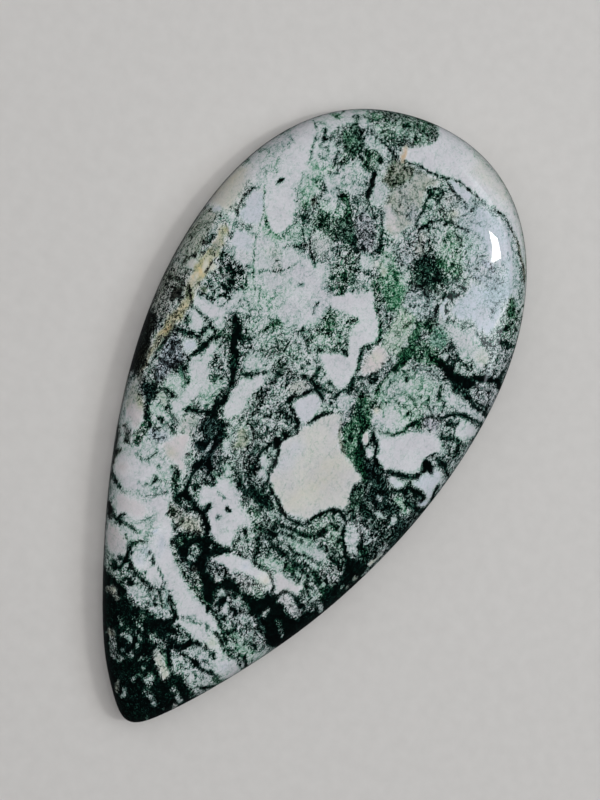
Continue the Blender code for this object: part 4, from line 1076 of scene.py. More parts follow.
# Painted shadow: the brown marks here along the lower left rim.
patch(0.55, -11.9,-6, -11.4,-6.1, -11,-6.5, -10.9,-7, -11.1,-7.4, -11.5,-7, -11.8,-6.6, green=0.0,
      colour=BROWN_AND_RIM_SHADOW, strength=0.5)
line(0.9, -12,-6.2,.1, -11.9,-6,.1, colour=BROWN_AND_RIM_SHADOW)
line(0.92, -11.2,-7.1,.2, -10.9,-7.2,.1)
line(0.8, -12.2,-6.5,.1, -11.6,-8.2,.1, -11.2,-9.4,.08, colour=BROWN_AND_RIM_SHADOW)
line(0.9, -11.4,-8.3,.2, -11.3,-8.1,.12, colour=BROWN_AND_RIM_SHADOW)
patch(0.0, -11.2,-8.2, -10.4,-8, -9.4,-8.1, -8.6,-7.9, -8.2,-7.7, -8.1,-8.5, -8.4,-9.2, -8.6,-9.8, -9,-10.3,
      -9.7,-10.6, -10.4,-10.1, -10.9,-9.9, -11.2,-9)
line(None, -10.6,-9.2,.4, soft=0.5, colour=PINK)
line(0.85, -11,-10,.15, -10.5,-10.4,.22, -10.2,-10.6,.15, -9.8,-10.8,.08, -9.5,-10.9,.1, -9.4,-10.8,.05,
      green=0.0)
line(0.28, -8.8,-9.6,.13)
line(0.22, -9.1,-10.4,.15)
line(0.3, -8.7,-10.3,.1)
line(0.5, -7.2,-7.3,.15, -7.1,-7.1,.1, green=0.7)
line(0.45, -8.2,-7.8,.05, -8.1,-7.6,.05)
line(0.88, -6.8,-7.2,.15, -6.5,-7.7,.22, -6.4,-8.2,.2, -6.1,-8.7,.25, broken=1.3, green=0.5)
line(0.9, -8,-8.6,.05, -7.7,-8.7,.1, -7.4,-8.65,.05)
line(0.9, -7.75,-8.8,.1, -7.85,-9.1,.06, -7.9,-9.3,.05)
line(0.85, -7.4,-8.65,.05, -7.1,-8.55,.05, -6.6,-8.6,.07, -6.2,-8.65,.1, -6,-8.8,.15)
line(0.8, -8.1,-9.3,.06, -8.2,-9.4,.08, -8.4,-9.7,.05)
line(0.8, -7.2,-9.05,.05, -7.4,-9.3,.06, -7.6,-9.5,.04)
line(0.8, -6.4,-9.2,.05, -6.7,-9.35,.06, -6.9,-9.35,.04)
line(0.85, -6.8,-9.7,.05, -7.2,-9.9,.06, -7.5,-10,.04, -7.7,-10.2,.06, -7.9,-10.6,.05)
patch(0.0, -9.6,-10.9, -9,-11, -8,-10.8, -7.4,-11, -7,-11.4, -7.2,-12, -7.8,-12.3, -8.5,-12.3, -9.2,-12.5,
      -9.6,-12.3, -9.8,-11.7, soft=0.25, colour=PINK, strength=0.5)
patch(0.0, -6.6,-9.9, -5.9,-10.2, -5.2,-11.1, -4.7,-11.7, -4.4,-12.2, -4.3,-12.8, -3.9,-13.3, -3.3,-14,
      -2.6,-14.4, -1.9,-15, -1.2,-15.3, -0.5,-15.8, 0.1,-16, 0.7,-16.2, 1,-16.4, 1.5,-16.4, 2.1,-16.7,
      2.5,-17.1, 2.9,-17.6, 2.4,-17.5, 1.9,-17.5, 1.4,-17.3, 0.7,-17.3, -0.1,-17.6, -0.6,-17.7, -0.9,-17.8,
      -1.3,-17.3, -1.8,-16.8, -2.3,-16.3, -3.3,-16.2, -4.6,-16.4, -5.1,-15.9, -5.8,-15.9, -6.5,-15.5,
      -6.5,-14.6, -5.7,-14.1, -6,-13.7, -5.9,-12.7, -6.1,-11.8, -6.8,-11, -7.6,-10.8, -7.2,-10.2)
line(None, -5.2,-12.6,.5, -4.6,-13.8,.5, soft=0.6, colour=BLUE_AND_REFLECTION, strength=0.7)
line(None, -5.8,-15.2,.3, soft=0.5, colour=BLUE_AND_REFLECTION, strength=0.7)
line(0.55, -6.6,-11.2,.07)
line(0.4, -7.1,-12,.05, -6.7,-11.7,.05)
line(0.5, -7.3,-12.6,.07, -7.2,-12.3,.06, -7,-12.1,.05)
line(0.4, -7.8,-12.7,.05, -7.6,-12.4,.05)
line(0.45, -6.1,-12.8,.05, -6.4,-13.4,.05, -6.5,-13.7,.05)
line(0.35, -5.8,-11.9,.05, -5.8,-12.4,.08, -6,-12.7,.06, colour=BLUE_AND_REFLECTION)
line(0.4, -4.6,-13,.09)
line(1.0, -9.9,-12.6,.12, -9.5,-12.8,.15, -9.2,-13.1,.16, -8.8,-13.1,.15, -8.3,-13.15,.07, -7.8,-13.1,.1,
      -7.4,-13.15,.09, -7,-13.3,.07, broken=0.3)
line(0.97, -8.7,-12.5,.12, -8.8,-12.9,.16, -8.9,-13.1,.18, -8.6,-13.2,.18, broken=1.0)
line(0.35, -8.6,-12.75,.12)
line(0.9, -8.9,-13.4,.07, -8.95,-13.7,.06, -8.85,-13.9,.04)
# Painted shadow at the rim, in brown.
line(0.9, -10,-12.4,.12, -9.4,-13.3,.2, colour=BROWN_AND_RIM_SHADOW)
patch(0.05, -9.3,-13.8, -8.4,-13.8, -7.6,-14.2, -7.1,-15.2, -7.6,-15.6, -8.2,-15.7, -8.8,-15.2, colour=PINK,
      strength=0.7)
line(0.9, -7.85,-13.9,.08, -7.7,-14.1,.1, -7.4,-14.2,.05, -7,-14.3,.15, -6.7,-14,.15, -6.3,-13.8,.12,
      -6.1,-13.9,.06, green=0.6)
line(0.22, -5.6,-14.3,.7, soft=0.5, broken=0.9, colour=BLUE_AND_REFLECTION, strength=0.5)
line(1.0, -5.4,-14.2,.17, broken=0.2)
line(0.9, -5.1,-14.75,.1)
line(1.0, -5.1,-14.4,.08, -4.9,-14.6,.12, -4.7,-14.85,.17, broken=0.2)
line(0.9, -4.3,-14.95,.05, -4.1,-15.15,.06, -3.9,-15.3,.05, -3.3,-15.9,.05, -3.1,-15.95,.08, -2.9,-16,.05)
line(0.6, -4.8,-15.1,.05, -5,-15.5,.06, -4.9,-15.9,.12, -5,-16,.06)
line(1.0, -7,-14.5,.1, -6.9,-14.8,.1, -6.9,-15.2,.17, -6.8,-15.7,.17, -6.8,-16.2,.17, -6.7,-16.5,.17,
      -7.2,-16.7,.2)
line(0.92, -7.4,-15.7,.15, -7.2,-15.8,.15)
line(0.92, -7.5,-16.3,.2, -7.2,-16.6,.25)
patch(0.42, -6.6,-16.2, -5.5,-16.5, -4.6,-16.9, -5.3,-17.3, -5.6,-17.7, -6.4,-17.7, -6.9,-17.2, green=0.3)
line(1.0, -6.6,-15.7,.08, -6.4,-15.8,.13, -6,-16,.08, -5.6,-16.2,.07, -5.2,-16.4,.07, -4.8,-16.55,.06,
      -4.4,-16.65,.05, -4,-16.7,.1, -3.7,-16.9,.08)
line(0.97, -5.6,-17.2,.25)
line(0.85, -6,-17,.1)

# Below the dark band: a white lake with black spots, and a mossy green shore to its right
patch(1.0, -4.9,-5.1, -4.6,-5.3, -4.2,-5.8, -3.7,-6.2, -3.3,-6.6, -3.7,-6.7, -4.4,-6.3, -4.8,-5.8, soft=0.1,
      broken=0.9)
line(1.0, -5.2,-5.7,.13, -5.45,-6.1,.22, -5.45,-6.4,.2, broken=0.9)
line(0.97, -5.4,-6.4,.22, -5.4,-6.9,.1, -5.4,-7.3,.08, -5.3,-7.7,.08, -5.3,-8.1,.12, -5.1,-8.4,.15,
      -5.2,-8.8,.2)
line(0.9, -4.8,-7.7,.2, -4.7,-8,.15)
line(0.9, -4.1,-8,.12)
line(0.7, -4.4,-7.5,.08, -4.1,-7.4,.05)
line(0.82, -4.4,-8.3,.15, -4.1,-8.4,.1, green=0.8)
line(1.0, -4.3,-7,.1, -3.9,-7.05,.12, -3.5,-7,.08)
line(0.8, -3.4,-6.65,.06, -2.9,-6.75,.05)
line(0.25, -4,-6.1,.12, -3.4,-6.4,.12, green=0.7)
patch(0.55, -4,-4.6, 0.9,-4.8, 1.8,-5.8, 3,-6.8, 5,-6.6, 9,-7.2, 9.6,-10, 9,-12.5, 5,-11.2, 2.4,-11,
      1.6,-8.6, 0.4,-7, -2.4,-6.4, -3.6,-6.2, broken=0.9, green=0.4)
patch(0.93, -0.9,-5.7, -0.3,-5.3, 0.3,-5.2, 0.9,-5, 1.3,-5.4, 1.8,-5.8, 1.4,-5.9, 1.7,-6.3, 1.5,-6.7,
      1,-6.9, 0.9,-7.3, 0.6,-6.9, 0.2,-6.6, -0.4,-6.6, -0.9,-6.8, -1.1,-6.3, -0.9,-6)
line(0.92, -1.5,-5.1,.2)
line(0.9, -1.7,-5.6,.2, -1.6,-5.9,.2, -1.4,-6.2,.2, -0.9,-6.3,.25, green=0.5)
line(0.25, -1.7,-5.2,.08, -1.3,-5.7,.1)
line(0.12, -3.2,-5.2,.2, -2.9,-5.7,.18)
line(0.3, -0.1,-5.5,.13)
line(0.3, 0.5,-5.6,.13)
patch(0.0, -3.4,-6.6, -2.9,-6.1, -2.5,-5.9, -2.2,-6, -2,-6.4, -1.6,-6.7, -1.1,-6.8, -0.9,-7.2, -0.2,-7.6,
      0.1,-7.9, 0.5,-8.1, 0.9,-8.3, 0.9,-8.7, 0.4,-8.8, 0.1,-9.2, 0.1,-9.7, 0,-10.3, 0.2,-10.9, -0.9,-10.9,
      -1.6,-10.7, -2,-10.5, -2,-10, -2.5,-9.8, -2.8,-9.2, -2.6,-8.6, -2.9,-8.4, -3.6,-8.8, -3.9,-8.7,
      -4.1,-8.2, -4.1,-7.5, -3.6,-7.2, -3.2,-7)
patch(0.36, 0.1,-7.9, -0.5,-7.4, -1,-7.2, -0.8,-6.8, 0,-7, 0.8,-7.3, 1.5,-7.9, 2.1,-8.6, 2.1,-9.2, 2.2,-10,
      1.9,-10.6, 1.4,-10.9, 0.3,-10.9, 0.1,-10.2, 0.2,-9.2, 0.9,-8.7, 0.9,-8.2, soft=0.3, broken=1.3,
      green=0.6)
line(0.75, -2.9,-7.3,.05, -2.6,-7.4,.08, -2.2,-7.5,.08)
line(0.95, -1.7,-8.05,.07, -1.45,-8.2,.13, -1.2,-8.1,.07, broken=1.0)
line(1.0, -1.5,-8.3,.15, -1.35,-8.4,.07)
line(0.75, -1.9,-9.1,.17)
line(0.25, -1.9,-9.1,.06)
line(0.4, 0.05,-9.8,.08)
line(0.62, 0.3,-7.3,.2, 0.9,-7.5,.2, green=0.8)
line(0.85, 0.4,-8.9,.08, 0.6,-9.2,.15, 0.8,-9.4,.12, 0.9,-9.5,.08, green=0.6)
line(0.85, 1,-8.2,.12, 1.4,-8.4,.15, 1.8,-8.4,.2, 2.1,-8.6,.15, green=0.6)
line(0.92, 1.8,-9.1,.13, 1.9,-9.4,.16, 2.2,-9.6,.1, 2.1,-10,.1, 2.3,-10.3,.13, 2.3,-10.7,.06)
line(1.0, -6,-8.8,.2, -5.7,-9,.35, -5.2,-8.8,.28, -4.7,-8.9,.25, -4.2,-9.1,.24, -3.7,-9.3,.2, -3.3,-9.4,.22,
      -2.9,-9.7,.22, -2.5,-10,.22, -2.2,-10.3,.22, -2.1,-10.7,.2, broken=1.0)
line(0.95, -5.7,-9.2,.2, -5.4,-9.5,.3, -4.9,-9.7,.27, -4.5,-9.7,.22, -4,-9.6,.12, broken=1.1)
line(0.95, -3.1,-9.1,.15, -3,-8.7,.2, -3,-8.5,.1)
patch(0.3, -5.9,-9.9, -4.6,-10, -3.3,-9.8, -2.8,-10.3, -2.3,-10.8, -2.4,-11.1, -3,-11.1, -3.4,-11.5,
      -4.4,-11.9, -5,-11.2, -5.7,-10.7, broken=1.4, green=0.3)
patch(0.26, -4.8,-10.1, -3.3,-9.8, -2.8,-10.3, -2.3,-10.8, -2.6,-11.1, -3.1,-11.1, -3.6,-11.4, -4.6,-11.3,
      broken=1.1, green=0.0, colour=SAND, strength=0.6)
patch(0.45, -5.9,-9.9, -4.7,-9.9, -4.4,-10.5, -4.6,-11, -5.3,-11, -5.8,-10.4, broken=1.4, colour=OLIVE,
      strength=0.5)
line(0.9, -5.6,-10.3,.1, -5.3,-10.4,.12, -5.2,-10.7,.06)
line(0.88, -5.6,-10.8,.12, -5.5,-11,.05)
line(0.85, -4.4,-10.6,.15, -4.3,-11,.12, -4.5,-11.3,.12, -4.6,-11.6,.15, green=0.4)
line(0.85, -3.5,-11.4,.1, -3,-11.2,.15, -2.6,-11.1,.15)

# Bands under the cream window, and the white lens below them
line(1.0, 0.3,-4.9,.08, 0.9,-5.1,.09, 1.3,-5.4,.07, 1.8,-5.8,.06, 2.5,-6.2,.08, 2.8,-6.4,.06)
line(0.15, 0.6,-5.3,.05, 1.3,-5.75,.07, 2,-6.25,.06, broken=1.2)
line(0.97, 1.2,-5.4,.05, 1.8,-5.8,.05, 2.3,-6.3,.06, 2.8,-6.55,.06, 3.3,-6.6,.07, 4,-6.6,.1, 4.3,-6.55,.1,
      4.7,-6.5,.06)
patch(0.3, 1.2,-6.9, 2,-6.5, 2.6,-6.7, 3.2,-6.9, 3.2,-7.2, 2.5,-7.3, 1.9,-7.2, broken=1.1)
line(0.85, 1.2,-6.2,.15)
line(0.85, 1.7,-6.3,.1)
line(0.9, 1.6,-7.4,.1, 2,-7.5,.1, 2.3,-7.6,.12, 2.7,-7.8,.15, 3,-7.6,.1, broken=1.2)
line(0.97, 2.3,-8.3,.15, 2.8,-8.4,.2, 3.1,-8.1,.15)
line(0.9, 2.2,-8.9,.1, 2.7,-8.9,.12, 3.1,-9.1,.12, 3.6,-9.2,.1, 4.1,-9.5,.1, 4.4,-9.3,.08, green=0.4)
line(0.85, 3.1,-9.4,.06, 3.1,-9.8,.06, 3.3,-10.1,.05)
line(0.95, 3,-7.4,.1, 3.5,-7.4,.15, 3.6,-7.6,.1)
line(0.92, 4.2,-7.3,.08, 4.8,-7.3,.12, 5.2,-7.2,.12, 5.5,-7.1,.1)
line(0.92, 3.9,-7.7,.06, 4.2,-7.8,.08, 4.9,-7.9,.08)
line(0.97, 3,-7.35,.08, 4.2,-7.25,.11, 5.2,-7.15,.13, 5.9,-6.9,.12, broken=0.5)
line(0.97, 3.5,-7.75,.07, 4.4,-7.85,.1, 5.1,-7.9,.07, broken=0.4)
line(0.15, 3.4,-7.52,.06, 4.6,-7.55,.07, 5.6,-7.45,.08, 7.4,-7.85,.1)
line(0.15, 3,-7.62,.04, 3.9,-7.5,.05)
patch(0.22, 4.9,-8.2, 6.2,-7.7, 8,-7.8, 8.3,-8.3, 6.6,-8.5, 5.6,-8.9, 5,-8.6, broken=0.9)
patch(0.2, 3.9,-8.4, 6,-8.9, 7.8,-9.4, 6,-9.2, 4,-8.95, soft=0.15, broken=1.1)
line(0.95, 4.1,-8.55,.05, 4.6,-8.75,.05, 5,-8.8,.08, 5.3,-8.9,.08)
line(0.9, 5.2,-9.1,.1)
line(0.15, 3.3,-8.3,.15, 3.6,-8.1,.12)
line(0.95, 3.7,-8.5,.08)
patch(0.12, 3.7,-8.05, 5,-7.95, 6.2,-7.75, 8,-7.9, 8.3,-8.3, 6.6,-8.45, 5.4,-8.6, 4.4,-8.4, soft=0.12,
      broken=0.9)
line(0.95, 3.9,-9.2,.13, 4.6,-9.4,.1, 5.3,-9.6,.12, 6,-9.7,.1, 6.6,-9.9,.08, 7.2,-10.1,.06)
line(0.9, 4.6,-8.7,.06, 5.3,-8.85,.1, 6.2,-8.65,.05, 7.1,-8.75,.05, 7.9,-8.9,.06)
line(0.88, 6.9,-7.4,.08, 7.5,-7.6,.06)
line(0.85, 5.9,-8.7,.06, 6.4,-8.7,.07)
patch(0.14, 5.4,-9.15, 7.6,-9.3, 7.8,-8.95, 6.2,-8.8, soft=0.12, broken=0.9)
line(0.85, 6,-9.1,.05, 6.6,-9.3,.05, 7.1,-9.4,.05)
line(0.92, 5.2,-9.5,.1, 5.7,-9.6,.12, 6.2,-9.7,.12, 6.4,-9.9,.06)
line(0.85, 5.4,-9.8,.07, 5.8,-10,.06)
line(0.78, 4.9,-10,.2, 5.2,-10.2,.3, 5.6,-10.2,.2, green=1.0)
line(0.92, 5.8,-10.4,.12, 6.1,-10.6,.12, 6.6,-10.7,.08)
patch(0.12, 3.2,-10.6, 3.8,-10, 4.6,-9.9, 4.8,-10.4, 4.9,-10.8, 4.3,-10.9, 3.6,-11, 2.7,-10.9, green=0.6)
line(0.2, 6.2,-10.2,.25)
patch(0.0, 4.4,-11.1, 5,-10.9, 5.6,-11, 6.4,-11, 7,-11.1, 6.9,-11.5, 7,-11.9, 6.5,-11.9, 6,-12.1, 5.7,-12.4,
      5.4,-12.5, 5.1,-12.3, 5,-11.9, 4.8,-11.6, colour=PINK, strength=0.4)
line(0.5, 6.4,-11.1,.1)
line(0.05, 5.7,-10.78,.06)
patch(0.6, 7.6,-8.2, 9.4,-8.3, 9.6,-9.6, 8.4,-9.9, 7.6,-9.6, broken=1.3)
line(0.88, 7.4,-9.7,.25, 7.9,-10,.3, 8.3,-10.3,.2, 8.8,-10.6,.2, 9.1,-11.2,.2, green=0.6)
line(0.95, 7.6,-7.9,.1, 8.4,-8,.18, 9,-8.1,.15, broken=1.0)
line(0.95, 8.5,-9.8,.2, 9.1,-10.2,.2, 9.2,-10.8,.15, broken=1.0)
line(0.1, 8.5,-10.1,.15)
patch(0.3, 7,-10.4, 8.4,-10.5, 8.8,-11.6, 8,-12.4, 7.2,-12, 7.6,-11, broken=1.3)
line(1.0, 7.1,-10.85,.1, 7.5,-10.8,.1, 8,-10.8,.08)
line(0.88, 7.2,-11.5,.2, 7.5,-11.3,.25, 7.4,-11.7,.2, broken=1.4)
patch(0.0, -0.7,-12.1, -0.3,-11.8, 0.2,-11.4, 0.8,-11.2, 1.6,-11.1, 2.2,-11.1, 2.9,-11.3, 3.6,-11.3,
      4.1,-11.5, 4.5,-11.9, 4.8,-12.4, 4.8,-12.7, 4.2,-12.6, 3.5,-12.4, 3,-12.3, 2.5,-12.2, 2,-12.3,
      1.5,-12.4, 1.1,-12.6, 0.8,-12.5, 0.4,-12.4, 0,-12.5, -0.4,-12.5, -0.8,-12.4, soft=0.12)
line(0.42, 3.8,-12.55,.3, 4.4,-12.4,.2, soft=0.25, broken=1.2)
line(None, 4,-12,.5, soft=0.5, colour=CREAM)
line(None, 2,-11.7,.4, soft=0.5, colour=BLUE_AND_REFLECTION, strength=0.6)
line(1.0, -0.4,-11.8,.1, -0.3,-11.5,.15, 0.1,-11.2,.15, 0.6,-11.15,.07, 1.1,-11.1,.06, 1.7,-11,.05)
line(1.0, 2.4,-10.9,.08, 2.7,-11.15,.08, 3.1,-11.15,.09, 3.5,-11.1,.06, 3.8,-11.25,.06, 4.2,-11.4,.06,
      4.5,-11.7,.06, 4.75,-12,.06, 4.9,-12.2,.08, 4.9,-12.5,.1)
patch(0.96, -2.1,-10.9, -1.5,-10.9, -0.9,-11, 0.1,-11, 0.3,-11.2, -0.1,-11.5, -0.4,-11.9, -0.9,-12.2,
      -1,-12.8, -0.6,-13.1, -1.2,-13.6, -2,-13.8, -3.2,-13.5, -4,-13, -4.3,-12.4, -4.2,-11.6, -3.4,-11.7,
      -2.8,-11.3, -2.4,-11.1, green=0.35)
line(0.35, -2.4,-12.4,.38, -2,-12.4,.28, broken=0.9)
line(0.4, -3.6,-12.3,.25, green=0.8)
line(0.3, -2.4,-13.1,.2, -1.9,-13.1,.1)
line(0.1, -1.75,-13.7,.08, -1.5,-13.8,.1, colour=LIME)
line(0.35, -1.2,-11.5,.15)
line(0.64, -4,-13,.12, -3.6,-13.4,.15, -3.2,-13.8,.12, -2.9,-14,.12, -2.5,-14.2,.12, -2.1,-14.4,.12,
      -1.8,-14.7,.12, -1.3,-15,.12, -0.9,-15.3,.12, 0,-15.6,.14, 0.8,-15.9,.12, broken=1.3, green=1.0)

# The black mass across the lower body, with grey flecks and mossy pale ground under it
patch(0.45, 1.2,-14, 4,-14.2, 5.4,-15.2, 7.6,-17, 7.2,-18.6, 5.6,-19.4, 3,-17.6, 1.6,-16.4, 1,-15.4,
      broken=1.2)
patch(0.76, 1.8,-14, 4,-14, 5.6,-15.2, 6.4,-16.2, 5.2,-15.6, 4,-15.1, 3.2,-15.2, 2.4,-14.6, soft=0.25,
      broken=1.1)
patch(0.24, 2.8,-16.5, 4.4,-16.9, 6.4,-17.8, 6.4,-19, 5.2,-18.8, 4.4,-18.2, 3.4,-17.2, soft=0.2, broken=1.1,
      green=0.6)
patch(0.97, -1.4,-12.9, -0.5,-13.3, 0,-13.6, 0.4,-13.9, 0.9,-13.6, 1,-13.2, 1.4,-13, 1.8,-13.1, 2.2,-13.3,
      2.7,-13.6, 3.3,-13.6, 4,-13.6, 4.5,-13.2, 4.4,-12.9, 4.9,-12.7, 5.5,-12.5, 5.6,-12.9, 6.1,-13,
      6.5,-13.2, 6.7,-13.5, 7.4,-13.7, 8.2,-13.6, 8.9,-14.2, 9.6,-14.6, 8.4,-16, 7.9,-16.6, 7.2,-16.9,
      6.7,-16.6, 6.2,-16, 5.7,-15.6, 5.2,-15.3, 4.9,-15, 4,-14.8, 3.4,-14.3, 2.9,-14, 2.3,-13.9, 1.9,-14.1,
      1.1,-14.2, 0.9,-14.8, 1.2,-15.9, 0.4,-15.8, -0.4,-15.2, -0.9,-15.1, -1.6,-14.4, -2,-13.9)
patch(0.95, 9.6,-8.3, 10.4,-8.2, 11.6,-8, 11.4,-9.5, 10.9,-11, 10.4,-12.4, 9.8,-13.4, 9.4,-14.5, 8.6,-15,
      8.1,-13.5, 8.1,-12.7, 8.9,-12.4, 9,-11.4, 8.8,-10.4, 9.6,-9.4)
line(0.2, 9.2,-11.9,.28, 9.6,-12.2,.18, broken=1.2)
line(0.4, 10.1,-9.5,.08, 10.1,-9.9,.07)
line(0.3, 10.8,-8.5,.12, colour=BEIGE_AND_RIM_SHADE)
line(0.35, 10.6,-9.4,.08, colour=BEIGE_AND_RIM_SHADE)
line(0.97, 6,-12,.1, 5.8,-12.2,.1, 5.6,-12.4,.12)
line(0.92, 6.1,-11.95,.1, 6.6,-12,.1, 7.1,-12.2,.2, 7.6,-12.5,.2, 8,-12.6,.2)
patch(0.24, 5.7,-12.5, 6.1,-12.2, 6.6,-12.4, 7,-12.7, 7.5,-12.9, 8,-13, 8.1,-13.2, 7.8,-13.5, 7.3,-13.5,
      6.9,-13.2, 6.4,-13, 5.8,-13, broken=1.2, green=0.0, colour=PINK, strength=0.5)
line(0.9, 8,-12,.06, 8.5,-12,.08, 9,-12,.06, 9.2,-12.3,.06)
patch(0.38, 1.1,-12.7, 2,-12.5, 2.8,-12.4, 3.3,-12.7, 3.7,-13, 3.5,-13.4, 3.2,-13.5, 2.7,-13.4, 2.2,-13.1,
      1.6,-12.9, broken=1.3, green=0.0, colour=PINK, strength=0.3)
line(0.6, 3.6,-12.7,.2, 4.2,-13,.2, broken=1.2, green=0.6)
line(0.8, 1.9,-12.35,.05, 2.3,-12.25,.06, 2.8,-12.25,.06, 3.2,-12.35,.05, 3.4,-12.45,.04)
patch(0.84, -1,-12.6, -0.1,-12.4, 0.8,-12.6, 1.2,-13, 0.4,-13.1, 0.1,-13.5, -0.7,-13.5, broken=1.3)
line(0.15, 0.2,-13.3,.06, 0.4,-13.6,.1, 0.55,-13.8,.05, broken=1.2, colour=PINK, strength=0.5)
line(0.35, 4.2,-13.2,.18, green=0.6)
line(0.3, 6.6,-14.5,.04, 7.6,-15.4,.05, soft=0.2, broken=1.0)
line(0.15, 5.45,-14.05,.08, 5.2,-14.4,.1, 5.35,-14.6,.06, broken=1.2, colour=PINK, strength=0.5)
line(0.44, -1.2,-14.3,.36, -0.7,-14.9,.3, broken=1.3, green=0.8)
line(0.4, 3.8,-15,.05, 4.4,-15.1,.05)
line(0.2, 1.3,-14.4,.2, 1.5,-14.5,.15)
line(0.15, 2.6,-14.6,.18, 3,-14.4,.12)
line(0.3, 1.3,-15,.15)
patch(0.88, 4.9,-14.8, 5.7,-15.4, 6.2,-16.1, 5.7,-16.2, 5.1,-15.7, broken=1.2)
line(0.18, 2.1,-15.3,.25, 2.4,-15.6,.15)
line(0.92, 2.3,-14.2,.2)
line(0.92, 1.7,-14.8,.2, 1.6,-15.4,.25)
line(0.85, 3.9,-15.9,.12, 4.4,-16.1,.25, 4.3,-16.5,.12, broken=1.2)
line(1.0, 2.6,-15.3,.15, 3,-15.3,.2, 3.2,-15.7,.1)
patch(0.2, 3.4,-15.7, 3.9,-15.3, 4.6,-15.3, 5.1,-15.4, 5.2,-15.8, 4.8,-15.9, 4.3,-15.9, 3.6,-15.9,
      broken=1.2)
line(0.3, 4.9,-16.7,.3, 5.5,-17,.25, broken=1.3, soft=0.25)
line(0.95, 4.3,-16,.1, 4.8,-15.9,.1)
line(0.9, 4.3,-16.4,.08, 4.5,-16.5,.05)
line(0.85, 2,-16.2,.15, 2.5,-16.3,.18)
line(0.92, 3.6,-16.2,.08, 3.7,-16.6,.06, 3.6,-17.1,.12, 3.1,-17.15,.06)
line(0.9, 5.1,-17.2,.12, 5.4,-17.2,.1, green=0.5)
line(1.0, 5.6,-17.1,.08, 6,-17.2,.12, 6.2,-17.4,.1)
line(0.88, 4,-17.5,.06, 4.4,-17.6,.07, 4.7,-17.9,.06)
line(0.7, 5,-17.5,.05, 5.6,-17.5,.06, 6,-17.6,.05, green=1.0)
line(0.22, 4.8,-17.9,.3, 5.8,-18,.35, soft=0.25, green=0.8, broken=0.7)
line(0.15, 6.9,-17.6,.35, 6.8,-18.3,.35, soft=0.25)
line(0.92, 1.2,-16.1,.1, 1.7,-16.4,.08, 2.1,-16.6,.1, 2.4,-16.8,.12, 2.7,-17.1,.12, 3,-17.4,.12,
      3.4,-17.7,.15, 3.7,-17.9,.12, 3.8,-18.2,.12, 4.1,-18.5,.12, 4.3,-18.8,.08, 4.8,-18.85,.05,
      5.3,-18.9,.05, green=0.4)
line(1.0, 0.9,-16.1,.12, 1,-16.4,.1)

# The tip: slanting white slivers, then black moss with pale flecks
patch(0.95, -8,-17.2, -5.9,-17.8, -5.4,-18.2, -4.8,-18.5, -3.5,-18.5, -2.7,-18.5, -2,-18.7, -1.6,-18.2,
      -1,-18.1, -0.9,-18.6, -0.2,-18.9, 0.6,-19.1, 1.2,-19.9, 0.4,-20.2, 0.2,-21, 0.8,-22, 1.4,-22, 2,-22.1,
      2.4,-22.5, 2.9,-22.8, 3.8,-23.2, 5,-23, 3,-27, 0,-30, -4,-28, -8,-20)
patch(0.22, -4.4,-16.8, -3.3,-17, -2.7,-17.6, -1.4,-18, -2.2,-18.6, -3.8,-18.4, -3.8,-17.8, broken=1.1)
patch(0.12, -5.6,-17.6, -5,-17.2, -4.5,-17.1, -4,-17.6, -3.8,-17.9, -3.8,-18.3, -4.2,-18.4, -4.8,-18.3,
      -5.4,-18, broken=1.3)
line(0.97, -6.6,-17.8,.15, -6.1,-17.9,.2, -5.6,-18,.2)
line(0.85, -3.2,-17.5,.12)
line(0.88, -3.6,-18,.08)
line(0.85, -3,-17.8,.15)
line(0.85, -3.3,-16.3,.05, -3.1,-16.8,.06, -2.9,-17.1,.08, -2.7,-17.4,.08, -2.5,-17.7,.06)
line(0.15, -2.6,-16.6,.2, -2.5,-17,.2, -2,-17.7,.2, broken=1.2, colour=TEAL, strength=0.4)
line(0.97, -2.4,-16.5,.04, -2.3,-16.9,.06, -2,-17.2,.08, -1.7,-17.4,.1, -1.4,-17.7,.12, -1.1,-17.9,.13,
      -1,-18.3,.12)
line(0.6, -2.6,-16.2,.05, -2.4,-16.2,.06)
line(0.55, -0.7,-17.65,.08, -0.5,-17.6,.07, -0.1,-17.5,.12, 0.5,-17.2,.06, green=0.0)
line(0.55, 0.6,-17.6,.12, green=0.0)
line(0.55, 1.4,-17.4,.05, 1.7,-17.4,.12)
line(1.0, 2.4,-17.6,.08, 2.8,-17.8,.06, 3.1,-18.1,.1, 3.4,-18.3,.1)
patch(0.02, -0.8,-18.1, -0.2,-17.9, 0.5,-17.7, 1.2,-17.6, 1.9,-17.7, 2,-18.2, 1.9,-18.8, 1.4,-18.8,
      0.8,-18.8, 0.3,-18.6, -0.2,-18.6, -0.8,-18.5)
patch(0.06, 2,-17.7, 2.8,-18, 3.2,-18.4, 3.6,-18.7, 4.2,-19, 5,-19, 5.6,-19.4, 6.4,-19.8, 5.4,-20.8,
      4.6,-20.7, 4,-20.6, 3.6,-20.2, 3.6,-19.6, 3.3,-19, 2.6,-19, 2,-18.7)
line(None, 2.6,-18.5,.5, soft=0.4, colour=LIME, strength=0.5)
line(None, 4.5,-19.8,.5, soft=0.5, colour=BLUE_AND_REFLECTION, strength=0.35)
patch(0.15, 1.2,-19.4, 2.2,-19.2, 3.6,-19.5, 4,-20.5, 2.6,-20.4, 1.2,-20.2, 0.7,-20.2, broken=1.3)
line(0.95, 5.1,-18.4,.08, 5.6,-18.4,.12, 6,-18.7,.1, 6.2,-19.1,.12, 6.5,-19.3,.12)
line(0.97, -0.6,-18.5,.1, -0.4,-18.5,.1)
line(0.97, 0,-18.7,.12, 0.3,-18.7,.1, 0.6,-18.8,.12)
line(1.0, 0.8,-19,.15, 1,-19.3,.22, 0.9,-19.6,.2, 0.6,-19.8,.15)
line(1.0, 1.3,-19.1,.1, 1.8,-19.1,.12)
line(0.95, 1.3,-19.5,.1)
